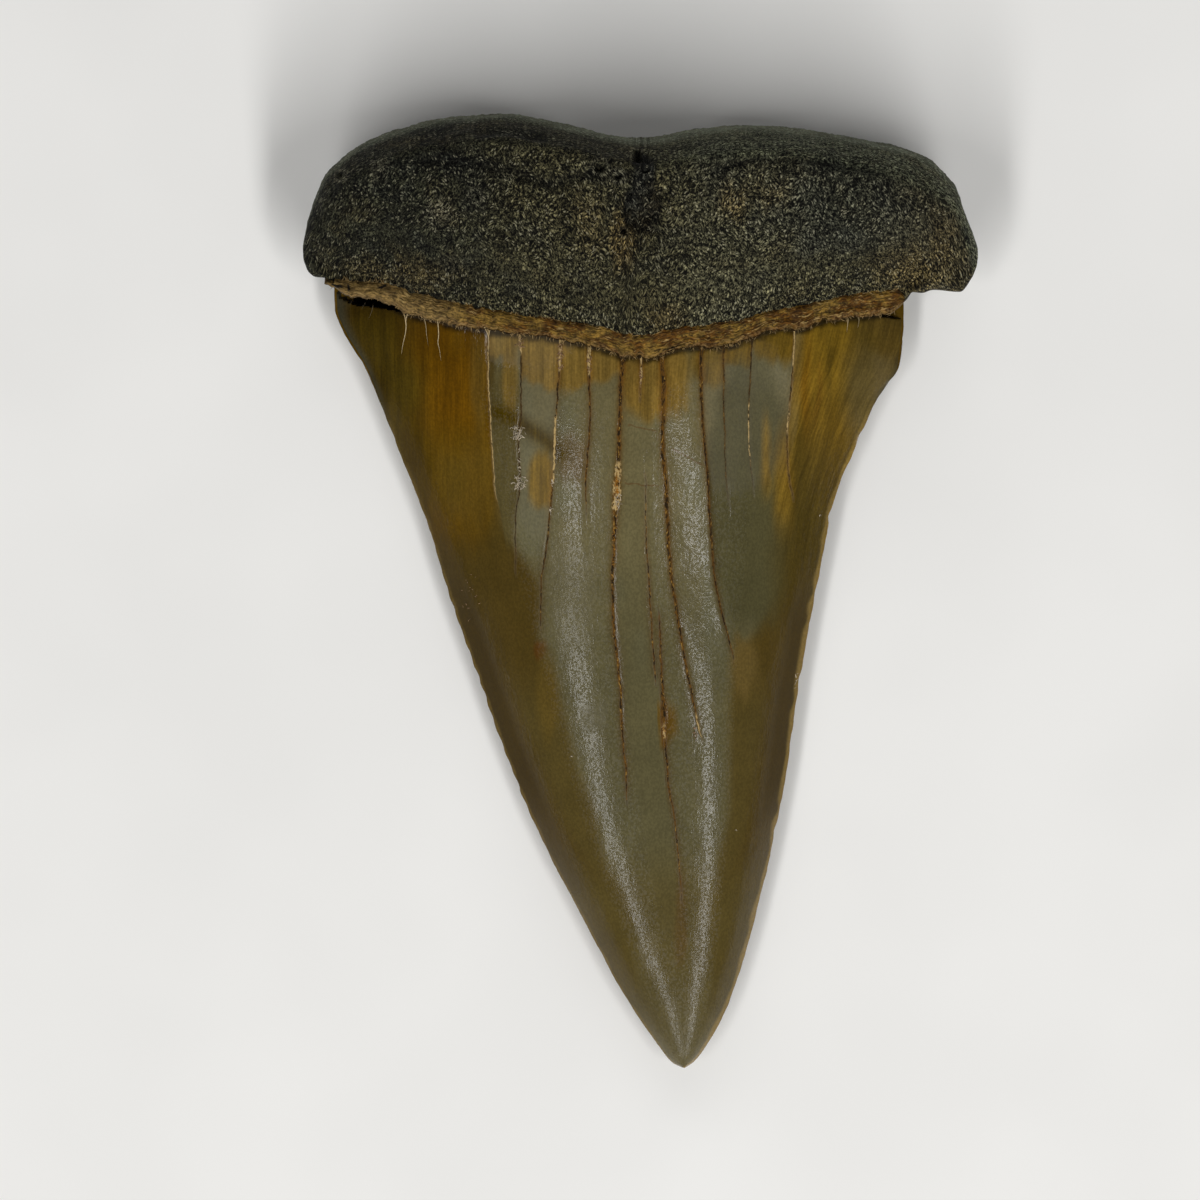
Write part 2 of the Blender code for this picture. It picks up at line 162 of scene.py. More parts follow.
# Cracks down the crown. path is (x, y) from the neck down. half_width is (y, millimetres) along it. pale
# holds the stretches (from y, to y) that are filled with cream mineral. tip_share is where the line between
# two strips of enamel reaches the point, as a share of the width there.
Crack = namedtuple("Crack", "path tip_share half_width stain pale")
CRACKS = [
    Crack(
        [(-9.95, 16.9), (-9.97, 14.6), (-9.85, 11.8), (-9.6, 7.4)],
        0.09,
        [(4.6, 0.0), (7.4, 0.025), (15.5, 0.035), (17.0, 0.05)],
        0.25,
        [(17.5, 5.5)],
    ),
    Crack(
        [
            (-7.92, 16.8), (-7.82, 15.4), (-7.82, 11.6), (-8.0, 10.4), (-7.9, 7.2), (-8.2, 4.6), (-8.2, 1.7),
            (-8.0, -0.1),
        ],
        0.16,
        [(-0.4, 0.0), (2.0, 0.025), (8.0, 0.04), (15.4, 0.045), (16.5, 0.07)],
        0.35,
        [(17.5, 15.7)],
    ),
    Crack(
        [
            (-5.22, 16.4), (-5.42, 13.2), (-5.62, 9.9), (-5.69, 7.8), (-5.89, 5.4), (-6.15, 2.9),
            (-6.49, 0.7), (-6.55, -2.8),
        ],
        0.24,
        [(-3.2, 0.0), (-1.5, 0.035), (8.0, 0.055), (14.5, 0.06), (16.5, 0.08)],
        0.6,
        [(17.5, 14.6), (11.4, 7.3)],
    ),
    Crack(
        [(-3.37, 15.6), (-3.31, 11.2), (-3.44, 9.1), (-3.57, 7.4), (-3.51, 3.8)],
        0.33,
        [(3.4, 0.0), (6.0, 0.03), (8.0, 0.055), (14.3, 0.07), (16.0, 0.1)],
        0.8,
        [(16.5, 14.3)],
    ),
    Crack(
        [
            (-1.19, 15.2), (-1.32, 13.2), (-1.39, 10.5), (-1.46, 8.5), (-1.6, 6.3), (-1.72, 3.8),
            (-1.85, 0.2), (-1.75, -2.2), (-1.52, -4.2), (-1.32, -6.4), (-1.19, -9.4), (-0.99, -11.3),
            (-0.86, -14.4),
        ],
        0.42,
        [(-15.0, 0.0), (-12.0, 0.045), (-4.0, 0.075), (3.6, 0.09), (6.7, 0.23), (8.6, 0.13), (16.0, 0.09)],
        1.0,
        [(8.3, 5.2)],
    ),
    Crack(
        [
            (0.03, 14.7), (-0.02, 11.9), (0.33, 7.0), (0.35, 4.4), (0.45, 2.0), (0.6, -0.3), (0.83, -3.8),
            (1.03, -6.5),
        ],
        0.5,
        [
            (-6.8, 0.0), (-5.0, 0.04), (-2.0, 0.045), (2.5, 0.035), (7.6, 0.02), (8.4, 0.0), (11.5, 0.0),
            (12.5, 0.02), (15.0, 0.05),
        ],
        0.9,
        [(16.0, 13.6)],
    ),
    Crack(
        [
            (0.72, 15.3), (0.8, 9.0), (0.95, 4.0), (1.12, -0.3), (1.29, -2.0), (1.33, -4.2), (1.46, -6.5),
            (1.53, -8.9), (1.72, -11.1), (1.86, -12.8), (2.18, -14.4), (2.38, -16.1), (2.65, -18.9),
            (2.78, -21.2),
        ],
        0.6,
        [
            (-21.6, 0.0), (-19.0, 0.03), (-12.5, 0.055), (-9.2, 0.08), (-7.8, 0.15), (-6.4, 0.08),
            (-3.0, 0.05), (-0.2, 0.0),
        ],
        0.9,
        [(-8.9, -9.4)],
    ),
    Crack(
        [
            (1.39, 15.3), (1.5, 13.2), (1.42, 9.9), (1.59, 7.8), (1.72, 5.1), (1.87, 2.7), (2.12, 0.2),
            (2.45, -1.6), (2.72, -3.3), (3.04, -5.2), (3.42, -6.9), (3.82, -8.9), (4.07, -9.9),
        ],
        0.68,
        [(-10.4, 0.0), (-8.5, 0.045), (0.0, 0.085), (8.0, 0.11), (15.5, 0.105)],
        1.0,
        [(-8.2, -9.4)],
    ),
    Crack(
        [
            (3.97, 16.0), (3.97, 13.2), (4.1, 10.5), (4.37, 7.8), (4.57, 4.4), (4.83, 1.2), (5.23, -0.9),
            (5.76, -2.9), (6.15, -4.8),
        ],
        0.75,
        [(-5.4, 0.0), (-3.0, 0.045), (4.0, 0.075), (16.0, 0.09)],
        0.9,
        [],
    ),
    Crack(
        [(5.43, 16.2), (5.43, 13.2), (5.49, 10.5), (5.63, 7.1), (5.89, 5.1)],
        0.8,
        [(4.4, 0.0), (6.0, 0.02), (12.0, 0.035), (16.2, 0.055)],
        0.6,
        [],
    ),
    Crack(
        [(7.28, 16.8), (7.15, 13.2), (7.08, 10.5), (7.28, 7.8), (7.48, 5.9)],
        0.86,
        [(5.0, 0.0), (7.0, 0.02), (16.8, 0.04)],
        0.4,
        [(12.2, 8.6)],
    ),
    Crack(
        [(10.12, 17.3), (9.99, 14.6), (9.73, 11.8), (9.66, 9.9), (9.79, 7.5), (10.12, 5.8)],
        0.92,
        [(5.0, 0.0), (7.0, 0.03), (9.0, 0.035), (17.3, 0.035)],
        0.5,
        [(17.3, 15.0), (12.2, 10.6)],
    ),
]
LABIAL_CRACKS = [
    [(-6.5, 18.0), (-6.9, 9.0), (-7.2, 1.0), (-6.4, -6.0)],
    [(-0.8, 18.5), (-0.6, 8.0), (0.2, -3.0), (1.4, -15.0)],
    [(4.9, 18.2), (5.3, 9.0), (5.2, 1.5)],
]
LABIAL_CRACK_WIDTH = 0.07
CRACK_COLUMN = 0.045
CRACK_DEPTH_SHARE = 0.15
CRACK_WIGGLE = 0.03
BELOW_CRACK = 14

# How each strip of enamel between two cracks leans, as the height of its right side over its left, and
# how high it stands, left strip first. One of them is flatter than the dome across its width.
STRIP_LEAN = [0.0, 0.0, 0.0, 0.16, 0.16, 0.02, 0.0, -0.02, -0.05, -0.04, 0.0, 0.0, 0.0]
STRIP_RISE = [0.0, -0.01, -0.02, 0.03, 0.13, 0.19, 0.19, 0.17, 0.06, -0.04, -0.04, -0.02, 0.0]
FLAT_STRIP = 8
FLATTENING = 0.07

# Faint scratches across the enamel, as (start, end) pairs of (x, y)
SCRATCHES = [
    ((-0.9, 10.9), (1.2, 10.4)), ((-1.1, 7.1), (1.3, 6.9)), ((2.0, 9.4), (4.2, 8.2)),
    ((1.2, -1.2), (1.4, -5.4)),
]

# Root relief: furrows as (path, reach, depth), openings as (x, y, radius, depth)
FURROWS = [
    ([(-14.2, 27.9), (-12.8, 28.0), (-8.3, 27.15), (-5.9, 26.15), (-3.0, 27.1)], 0.45, 0.32),
    ([(4.8, 27.05), (5.6, 27.5), (8.0, 28.0), (10.9, 27.95), (15.3, 27.35)], 0.4, 0.28),
    ([(-10.6, 29.9), (-8.5, 29.8), (-6.4, 29.4)], 0.28, 0.28),
    ([(-13.2, 30.4), (-12.7, 28.8)], 0.3, 0.25),
    ([(-0.45, 26.9), (-0.25, 23.9)], 0.7, 0.35),
    ([(-20.4, 20.6), (-19.5, 20.3), (-19.0, 20.05), (-18.6, 20.3), (-17.8, 20.1)], 0.12, 0.5),
]
FORAMINA = [
    (-0.2, 28.3, 0.3, 0.9), (0.3, 27.4, 0.3, 0.8), (-2.65, 27.4, 0.36, 0.45), (-1.5, 26.8, 0.3, 0.4),
    (-19.6, 27.2, 0.28, 0.25), (-1.1, 23.2, 0.2, 0.6), (-10.7, 25.6, 0.3, 0.2),
]
# Spongy hollows of the nutrient groove: centre x, y, half sizes x, y and depth
HOLLOWS = [(0.1, 24.5, 1.3, 1.6, 0.7), (0.05, 26.8, 0.8, 1.6, 0.5)]

# Colours of the enamel
OLIVE = (74, 59, 22)
DARK_OLIVE = (44, 31, 0)
AMBER = (92, 66, 5)
ORANGE_AMBER = (98, 62, 3)
AMBER_BROWN = (72, 57, 18)
DARK_AMBER = (74, 48, 1)
LOW_AMBER = (90, 70, 22)
AMBER_OLIVE = (64, 50, 9)
YELLOW_OLIVE = (78, 64, 14)
GREY = (100, 92, 62)
LOW_GREY = (85, 79, 52)
BLUE_GREY = (75, 70, 43)
COOL_GREY = (92, 93, 72)
GREEN_GREY = (80, 70, 38)
TAN = (112, 89, 38)
SMEAR = (68, 53, 1)
LOW_GOLD = (88, 71, 28)
FLANK_GOLD = (72, 59, 20)
LOW_OLIVE = (80, 68, 33)
TIP_CREAM = (91, 83, 56)
MARGIN = (57, 42, 0)
# Painted light: a pale edge where light shows through and glances off the thin cutting edges
PAINTED_EDGE_LIGHT = (128, 105, 52)
TOP_RIM = (60, 58, 44)
SHOULDER = (94, 80, 46)
GOLD = (120, 92, 24)
MIDDLE_GOLD = (101, 78, 19)
PALE_AMBER = (111, 86, 24)
DARK_GOLD = (82, 65, 24)
PATCH_GOLD = (94, 77, 38)
RUST = (84, 48, 12)
CRACK_DARK = (36, 25, 6)
CRACK_RUST = (92, 62, 16)
CRACK_GOLD = (152, 118, 54)
CRACK_STAIN = (214, 172, 104)
CREAM = (174, 148, 98)
# Painted shadow: near black, for the shade along the neck band's lower edge and in the gap behind the enamel
PAINTED_SHADOW = (5, 4, 2)

# Colours of the root
# Partly the bone's darker tone, partly painted shade on the left side, which faces away from the lights
ROOT_DARK_AND_SHADE = (34, 34, 24)
ROOT_MIDDLE = (56, 53, 36)
ROOT_RIGHT = (62, 60, 44)
ROOT_COOL = (48, 48, 38)
ROOT_TAN = (75, 64, 38)
ROOT_PALE = (88, 85, 70)
# Painted shade in the root's furrows, openings and hollows
ROOT_PIT_SHADE = (16, 16, 13)
ROOT_LUMP = (58, 58, 50)
ROOT_TOP = (72, 75, 58)
ROOT_RIM = (108, 112, 95)
ROOT_WARM = (62, 54, 32)
ROOT_COLD = (44, 46, 42)
# Painted glints on the brightest grains of the root
ROOT_PAINTED_GLINT = (140, 136, 114)

# Colours of the neck band and of what grows from it, and of the floor
BAND_TAN = (116, 90, 36)
BAND_ORANGE = (82, 52, 7)
BAND_LEFT = (122, 100, 58)
BAND_DARK = (36, 22, 4)
BAND_PALE = (168, 142, 88)
BAND_RIM = (132, 106, 68)
BAND_SHADOW = (20, 12, 4)
BAND_SPLIT = (14, 9, 3)
THREAD = (176, 154, 110)
HAIR = (160, 132, 84)
WHITE_CRYSTAL = (196, 182, 158)
GOLD_CRYSTAL = (170, 116, 34)
PINK_CRYSTAL = (150, 118, 88)
FLOOR_TONES = ((236, 235, 232), (240, 239, 236))

# The grey core of the enamel, its left and right borders as (y, x) points
GREY_LEFT = [
    (-21.0, -0.6), (-17.1, -2.2), (-12.0, -3.9), (-5.6, -5.55), (-3.2, -6.3), (0.1, -6.4), (3.1, -8.0),
    (6.1, -9.45), (INSIDE_ROOT, -9.95),
]
GREY_RIGHT = [
    (-21.0, 4.6), (-15.7, 5.55), (-7.1, 5.75), (-4.5, 6.0), (-3.2, 6.95), (-1.2, 7.9), (3.4, 9.1),
    (7.4, 9.6), (11.4, 10.6), (INSIDE_ROOT, 10.3),
]

# Patches of colour on the enamel: colour, centre x, y, half sizes x, y, softness of the border, strength, and
# the first and last strip of enamel that each covers, where it doesn't cover them all
Patch = namedtuple("Patch", "colour x y half_x half_y soft strength strips", defaults=[(0, len(CRACKS))])
ENAMEL_PATCHES = [
    Patch(AMBER_BROWN, -12.0, 4.5, 3.2, 4.5, 0.8, 0.6, (0, 0)),
    Patch(DARK_OLIVE, -18.2, 16.2, 3.2, 4.0, 0.7, 0.9, (0, 0)),
    Patch(AMBER, -12.2, 11.5, 3.3, 8.2, 0.5, 0.95, (0, 0)),
    Patch(AMBER_OLIVE, -15.4, 10.0, 1.6, 7.0, 0.9, 0.75, (0, 0)),
    Patch(LOW_AMBER, -11.3, 7.0, 2.0, 2.6, 0.8, 0.7, (0, 0)),
    Patch(ORANGE_AMBER, -12.3, 13.4, 1.9, 3.4, 1.4, 0.5, (0, 0)),
    Patch(DARK_AMBER, -12.6, 16.8, 2.8, 1.9, 1.2, 0.7, (0, 0)),
    Patch(LOW_GOLD, -10.6, 13.6, 0.5, 3.4, 1.2, 0.5, (0, 0)),
    Patch(GREEN_GREY, -8.9, 9.5, 1.2, 6.0, 0.5, 0.9, (1, 1)),
    Patch(TAN, -8.5, 14.6, 0.5, 3.2, 0.6, 0.85, (1, 1)),
    Patch(TAN, -9.0, 16.6, 1.4, 1.1, 0.5, 0.8, (1, 1)),
    Patch(TAN, -4.5, 15.6, 4.0, 2.3, 0.25, 0.95, (2, 4)),
    Patch(TAN, 1.0, 14.5, 2.4, 3.2, 0.35, 1.0, (5, 8)),
    Patch(MIDDLE_GOLD, 4.9, 15.6, 1.6, 2.2, 0.4, 0.8, (8, 9)),
    Patch(MIDDLE_GOLD, 6.4, 16.2, 1.4, 1.5, 0.35, 0.95, (10, 10)),
    Patch(MIDDLE_GOLD, 8.8, 17.0, 1.8, 2.1, 0.35, 0.95, (11, 11)),
    Patch(BLUE_GREY, 7.1, 6.3, 2.9, 8.7, 0.3, 0.95, (9, 12)),
    Patch(GOLD, 12.1, 14.3, 2.2, 4.8, 0.9, 0.95, (12, 12)),
    Patch(LOW_AMBER, 11.7, 8.6, 1.8, 4.6, 1.4, 0.7, (12, 12)),
    Patch(ORANGE_AMBER, 10.9, 13.4, 0.25, 3.0, 1.4, 0.5, (12, 12)),
    Patch(RUST, 11.7, 13.2, 0.14, 2.2, 1.4, 0.35, (12, 12)),
    Patch(AMBER_BROWN, 12.5, 14.0, 0.2, 2.6, 1.4, 0.6, (12, 12)),
    Patch(FLANK_GOLD, 11.0, 2.6, 1.9, 6.0, 1.2, 0.8, (11, 12)),
    Patch(SHOULDER, 15.4, 13.2, 1.9, 3.2, 1.0, 0.95, (12, 12)),
    Patch(DARK_GOLD, 16.4, 17.2, 1.8, 1.4, 0.9, 0.95, (12, 12)),
    Patch(GOLD, 8.1, 8.7, 0.35, 2.3, 1.2, 0.7, (11, 11)),
    Patch(GOLD, 9.5, 7.4, 0.6, 3.0, 1.4, 0.7, (11, 12)),
    Patch(PALE_AMBER, -6.5, 7.4, 0.75, 1.8, 0.5, 0.9, (2, 2)),
    Patch(RUST, -4.4, 8.7, 0.9, 1.5, 0.9, 0.35, (3, 3)),
    Patch(RUST, -6.6, -3.8, 0.4, 0.5, 0.8, 0.6),
    Patch(LOW_GOLD, -6.1, -6.8, 0.7, 2.6, 0.9, 0.8),
    Patch(PATCH_GOLD, 6.8, -5.0, 0.9, 1.9, 0.9, 0.95, (8, 12)),
    Patch(AMBER, 1.6, -8.6, 0.6, 1.4, 0.7, 0.8, (6, 7)),
    Patch(RUST, 2.8, -21.5, 0.4, 2.6, 0.9, 0.25),
]
# Worn places whose gloss is weaker: the strength is how rough they are
WORN_PATCHES = [
    Patch(None, -6.7, 9.5, 1.8, 6.0, 0.6, 0.55, (2, 2)),
    Patch(None, -7.5, 16.4, 3.0, 1.6, 0.6, 0.65, (1, 3)),
    Patch(None, -4.4, -0.5, 1.8, 4.5, 0.9, 0.23, (1, 4)),
    Patch(None, 6.6, 11.5, 3.6, 5.0, 0.6, 0.55, (9, 11)),
    Patch(None, -3.0, -8.1, 1.0, 1.2, 0.9, 0.3, (1, 5)),
]
# Smears of colour along a line of (x, y) points: colour, line, reach and strength
SMEARS = [(SMEAR, [(-9.4, 11.8), (-8.2, 11.3), (-7.2, 10.6), (-6.2, 9.9), (-5.2, 9.1)], 0.6, 1.0)]
# Patches of colour on the root
ROOT_PATCHES = [
    Patch(ROOT_TAN, 5.9, 25.1, 0.9, 1.1, 1.4, 0.6),
    Patch(ROOT_TAN, -1.1, 22.9, 0.7, 1.9, 1.0, 1.0),
    Patch(ROOT_TAN, 1.6, 17.7, 1.1, 0.9, 1.4, 0.6),
    Patch(ROOT_TAN, 8.4, 25.7, 1.1, 0.9, 1.4, 0.35),
    Patch(ROOT_TAN, 19.7, 23.7, 0.9, 1.2, 1.4, 0.4),
    Patch(ROOT_TAN, 18.2, 21.1, 2.7, 1.3, 1.4, 0.6),
    Patch(ROOT_TAN, -3.4, 23.9, 0.9, 1.8, 1.6, 0.35),
    Patch(ROOT_TAN, -15.4, 20.8, 3.5, 0.9, 1.6, 0.35),
    Patch(ROOT_PALE, -13.2, 24.5, 0.7, 0.8, 1.5, 0.45),
    Patch(ROOT_PALE, -17.0, 27.2, 0.6, 0.7, 1.5, 0.45),
]

# Threads that hang from the band, each as its points (x, y) from above and its greatest radius
THREADS = [
    ([(-15.7, 18.6), (-15.5, 18.15), (-15.42, 17.5), (-15.5, 16.9), (-15.65, 16.3), (-15.75, 15.7)], 0.042),
    ([(-15.15, 18.5), (-15.35, 18.2), (-15.42, 17.8)], 0.04),
    ([(-14.25, 18.2), (-14.1, 17.5), (-14.05, 16.9), (-13.95, 16.2)], 0.028),
    ([(-13.3, 17.8), (-13.25, 16.9), (-13.3, 16.4), (-13.2, 15.9), (-13.1, 15.2)], 0.036),
    ([(-10.2, 17.3), (-10.0, 16.9), (-9.95, 16.4), (-9.97, 15.6)], 0.04),
    ([(-9.75, 17.3), (-9.9, 17.0), (-9.95, 16.6)], 0.038),
    ([(13.7, 18.2), (13.68, 17.7), (13.6, 17.1)], 0.035),
    ([(14.4, 18.3), (14.43, 17.9), (14.35, 17.4)], 0.03),
    ([(-19.0, 19.4), (-19.2, 19.0)], 0.01),
    ([(-18.1, 19.2), (-18.4, 18.7)], 0.01),
    ([(-17.6, 19.2), (-17.7, 18.6), (-17.95, 18.0)], 0.012),
]
# Crusts of small crystals: centre x, y, spread across and along, how many, length and colour
Crust = namedtuple("Crust", "x y across along count length tone")
CRUSTS = [
    Crust(-8.0, 10.35, 0.4, 0.45, 44, 0.36, WHITE_CRYSTAL),
    Crust(-7.9, 7.15, 0.36, 0.4, 40, 0.34, WHITE_CRYSTAL),
    Crust(-7.95, 8.8, 0.07, 1.4, 12, 0.2, WHITE_CRYSTAL),
    Crust(-7.9, 16.3, 0.2, 0.35, 16, 0.25, PINK_CRYSTAL),
    Crust(-5.2, 15.4, 0.16, 0.9, 30, 0.25, PINK_CRYSTAL),
    Crust(-5.75, 7.1, 0.07, 0.2, 6, 0.22, WHITE_CRYSTAL),
    Crust(-5.9, 5.3, 0.1, 0.2, 8, 0.22, WHITE_CRYSTAL),
    Crust(-3.35, 14.9, 0.14, 0.6, 18, 0.22, PINK_CRYSTAL),
    Crust(-1.55, 7.0, 0.12, 0.8, 34, 0.3, GOLD_CRYSTAL),
    Crust(-1.45, 5.9, 0.2, 0.5, 14, 0.32, WHITE_CRYSTAL),
    Crust(-1.75, 3.0, 0.06, 1.2, 14, 0.22, GOLD_CRYSTAL),
    Crust(0.02, 14.1, 0.08, 0.5, 12, 0.2, PINK_CRYSTAL),
    Crust(1.52, -9.0, 0.06, 0.15, 6, 0.2, GOLD_CRYSTAL),
    Crust(3.6, -9.3, 0.15, 0.5, 12, 0.2, PINK_CRYSTAL),
    Crust(-4.17, -8.5, 0.03, 0.05, 2, 0.15, WHITE_CRYSTAL),
    Crust(-4.5, -10.8, 0.03, 0.05, 2, 0.12, WHITE_CRYSTAL),
    Crust(6.3, -15.7, 0.04, 0.04, 2, 0.15, WHITE_CRYSTAL),
    Crust(10.3, -5.9, 0.12, 0.5, 6, 0.25, WHITE_CRYSTAL),
    Crust(11.9, 5.1, 0.05, 0.08, 2, 0.15, WHITE_CRYSTAL),
    Crust(-11.2, -0.4, 0.5, 1.6, 16, 0.14, PINK_CRYSTAL),
]
# Short hairs along the band's two borders, much shorter over the open gap, and the points of the band's
# section that the hanging and the rising ones grow from
HAIRS = 420
HAIR_LENGTH = 0.3
GAP_REACH = (-20.2, -15.0)
HAIR_OVER_GAP = 0.3
HANGING_FROM = 25
RISING_FROM = 4
THREAD_SIDES = 5
HAIR_SIDES = 4

# Mesh resolution
LINGUAL_COLUMNS = [36, 9, 10, 9, 9, 7, 4, 5, 11, 7, 8, 12, 30]
LABIAL_COLUMNS = 80
CROWN_ROWS = [(-HALF_LENGTH, -30.1, 16), (-30.1, 13.5, 196), (13.5, 19.4, 56), (19.4, ENAMEL_BASE, 4)]
ROOT_SECTIONS = 480
ROOT_SPAN_STEPS = [12, 16, 12, 12, 14, 14, 26, 30, 30, 16]
BAND_SECTIONS = 560
BAND_SPAN_STEPS = [3, 5, 6, 5, 5, 4, 2, 3]
ROOT_END_TURN = 0.97
SHARP_ANGLE = 55

# Gloss: how rough the enamel is between its pits, how much rougher in them, and how rough it is beside a
# crack and on the margins. What is rougher than the last value lies in the gap under the neck band.
SMOOTH = 0.12
PITTED = 0.42
BESIDE_CRACK = 0.7
MARGIN_ROUGHNESS = 0.8
IN_GAP = 0.8

# The crown's width at which its growth streaks have their full width
STREAK_WIDTH = 27

# Stage: a pale floor, two long soft lights to the sides of the camera and a soft one behind the root
PHOTO_CENTRE = (-2.65, -0.53)
PHOTO_WIDTH = 79.4
OUTLINE_HEIGHT = 3.0
LENS = 180.0
SENSOR = 36.0
FLOOR_HALF = 1.5
FLOOR_DROP = 0.00002
SIDE_LIGHT_ANGLE = 28.0
SIDE_LIGHT_TILT = -34.0
SIDE_LIGHT_SIZE = (0.13, 0.8)
LEFT_LIGHT_POWER = 3.5
RIGHT_LIGHT_POWER = 4.3
BACK_LIGHT_TILT = 60.0
BACK_LIGHT_SIZE = (0.9, 0.4)
BACK_LIGHT_POWER = 1.4
LIGHT_DISTANCE = 0.8
SKY_HIGH = 0.06
SKY_LOW = 0.15
SKY_REACH = 0.35

# Random numbers
LATTICE_SIZE = 64
LATTICE = np.random.default_rng(4).uniform(-1.0, 1.0, (LATTICE_SIZE,) * 3)


def curve_through(points):
    """A smooth function through the points that doesn't overshoot between them."""
    knots = np.array([p[0] for p in points], float)
    values = np.array([p[1] for p in points], float)
    widths = np.diff(knots)
    slopes = np.diff(values) / widths
    tangents = np.zeros(len(knots))
    tangents[0], tangents[-1] = slopes[0], slopes[-1]
    before, after = slopes[:-1], slopes[1:]
    same_way = before * after > 0
    sums = np.where(same_way, before + after, 1.0)
    tangents[1:-1] = np.where(same_way, 2 * before * after / sums, 0.0)

    def value(at):
        i = np.clip(np.searchsorted(knots, at) - 1, 0, len(widths) - 1)
        t = np.clip((at - knots[i]) / widths[i], 0.0, 1.0)
        start = values[i] * (1 + 2 * t) * (1 - t) ** 2 + tangents[i] * widths[i] * t * (1 - t) ** 2
        end = values[i + 1] * t * t * (3 - 2 * t) - tangents[i + 1] * widths[i] * t * t * (1 - t)
        return start + end

    return value


def smooth_step(low, high, at):
    """0 below low, 1 above high, and a smooth rise between them."""
    t = np.clip((at - low) / (high - low), 0.0, 1.0)
    return t * t * (3 - 2 * t)


def hump(middle, reach, at):
    """1 at the middle, falling smoothly to nothing a reach or two away on both sides."""
    return np.exp(-(((at - middle) / reach) ** 2))


def noise(x, y, z, size):
    """Smooth noise from about -1 to 1, with lumps of that size."""
    spot = np.stack(np.broadcast_arrays(x, y, z), axis=-1) / size
    low = np.floor(spot).astype(int)
    part = spot - low
    part = part * part * (3 - 2 * part)
    total = 0.0
    for corner in itertools.product((0, 1), repeat=3):
        index = (low + corner) % LATTICE_SIZE
        share = np.prod(np.where(corner, part, 1 - part), axis=-1)
        total = total + share * LATTICE[index[..., 0], index[..., 1], index[..., 2]]
    return total


def linear(tone):
    """A colour of 0 to 255 screen values as linear light."""
    share = np.array(tone) / 255
    return np.where(share <= 0.04045, share / 12.92, ((share + 0.055) / 1.055) ** 2.4)


def between(first, second, share):
    """From the first to the second by that share, for numbers, arrays or a material's values."""
    return first + (second - first) * share


basal_edge = curve_through(BASAL_EDGE)
neck_edge = curve_through(NECK_EDGE)
least_neck_height = curve_through(NECK_HEIGHT)
crest_height = curve_through(CREST_HEIGHT)
labial_height = curve_through(LABIAL_HEIGHT)
left_cutting_edge = curve_through(LEFT_CUTTING_EDGE)
right_cutting_edge = curve_through(RIGHT_CUTTING_EDGE)
lingual_height = curve_through(LINGUAL_HEIGHT)
labial_lift = curve_through(LABIAL_LIFT)
edge_height = curve_through(EDGE_HEIGHT)
dome_power = curve_through(DOME_POWER)
dome_shift = curve_through(DOME_SHIFT)
midline = curve_through(MIDLINE)
enamel_end = curve_through(ENAMEL_END)
band_lower = curve_through(BAND_LOWER)
band_upper = curve_through(BAND_UPPER)
grey_left = curve_through(GREY_LEFT)
grey_right = curve_through(GREY_RIGHT)


def across(x, y):
    """Where x lies across the crown at y: -1 at the left cutting edge, 1 at the right one."""
    left, right = left_cutting_edge(y), right_cutting_edge(y)
    return (2 * x - left - right) / (right - left)


def crown_lingual(u, y):
    """Height of the crown's domed lingual face."""
    dome = 1 - np.abs(u - dome_shift(y) * (1 - u ** 2)) ** dome_power(y)
    return edge_height(y) + (lingual_height(y) - edge_height(y)) * dome


def crown_labial(u, y):
    """Height of the crown's labial face: flat in the middle, rising to the cutting edges."""
    rise = np.clip((np.abs(u) - FLAT_SHARE) / (1 - FLAT_SHARE), 0.0, 1.0) ** LABIAL_POWER
    return labial_lift(y) + (edge_height(y) - labial_lift(y)) * rise


def lobe_share(x):
    """0 where the root stands over the crown, 1 on the free ends of its two lobes."""
    left = 1 - smooth_step(LEFT_LOBE_START - LOBE_BLEND, LEFT_LOBE_START, x)
    right = smooth_step(RIGHT_LOBE_START, RIGHT_LOBE_START + LOBE_BLEND, x)
    return max(left, right)


def neck_height(x):
    """Height of the root at its neck: just over the enamel, or above it on the crown's thin shoulders."""
    y = neck_edge(x)
    u = float(np.clip(across(x, y), -1.0, 1.0))
    over_crown = crown_lingual(u, y) + NECK_STEP
    own = least_neck_height(x)
    return (over_crown + own + math.hypot(over_crown - own, NECK_BLEND)) / 2


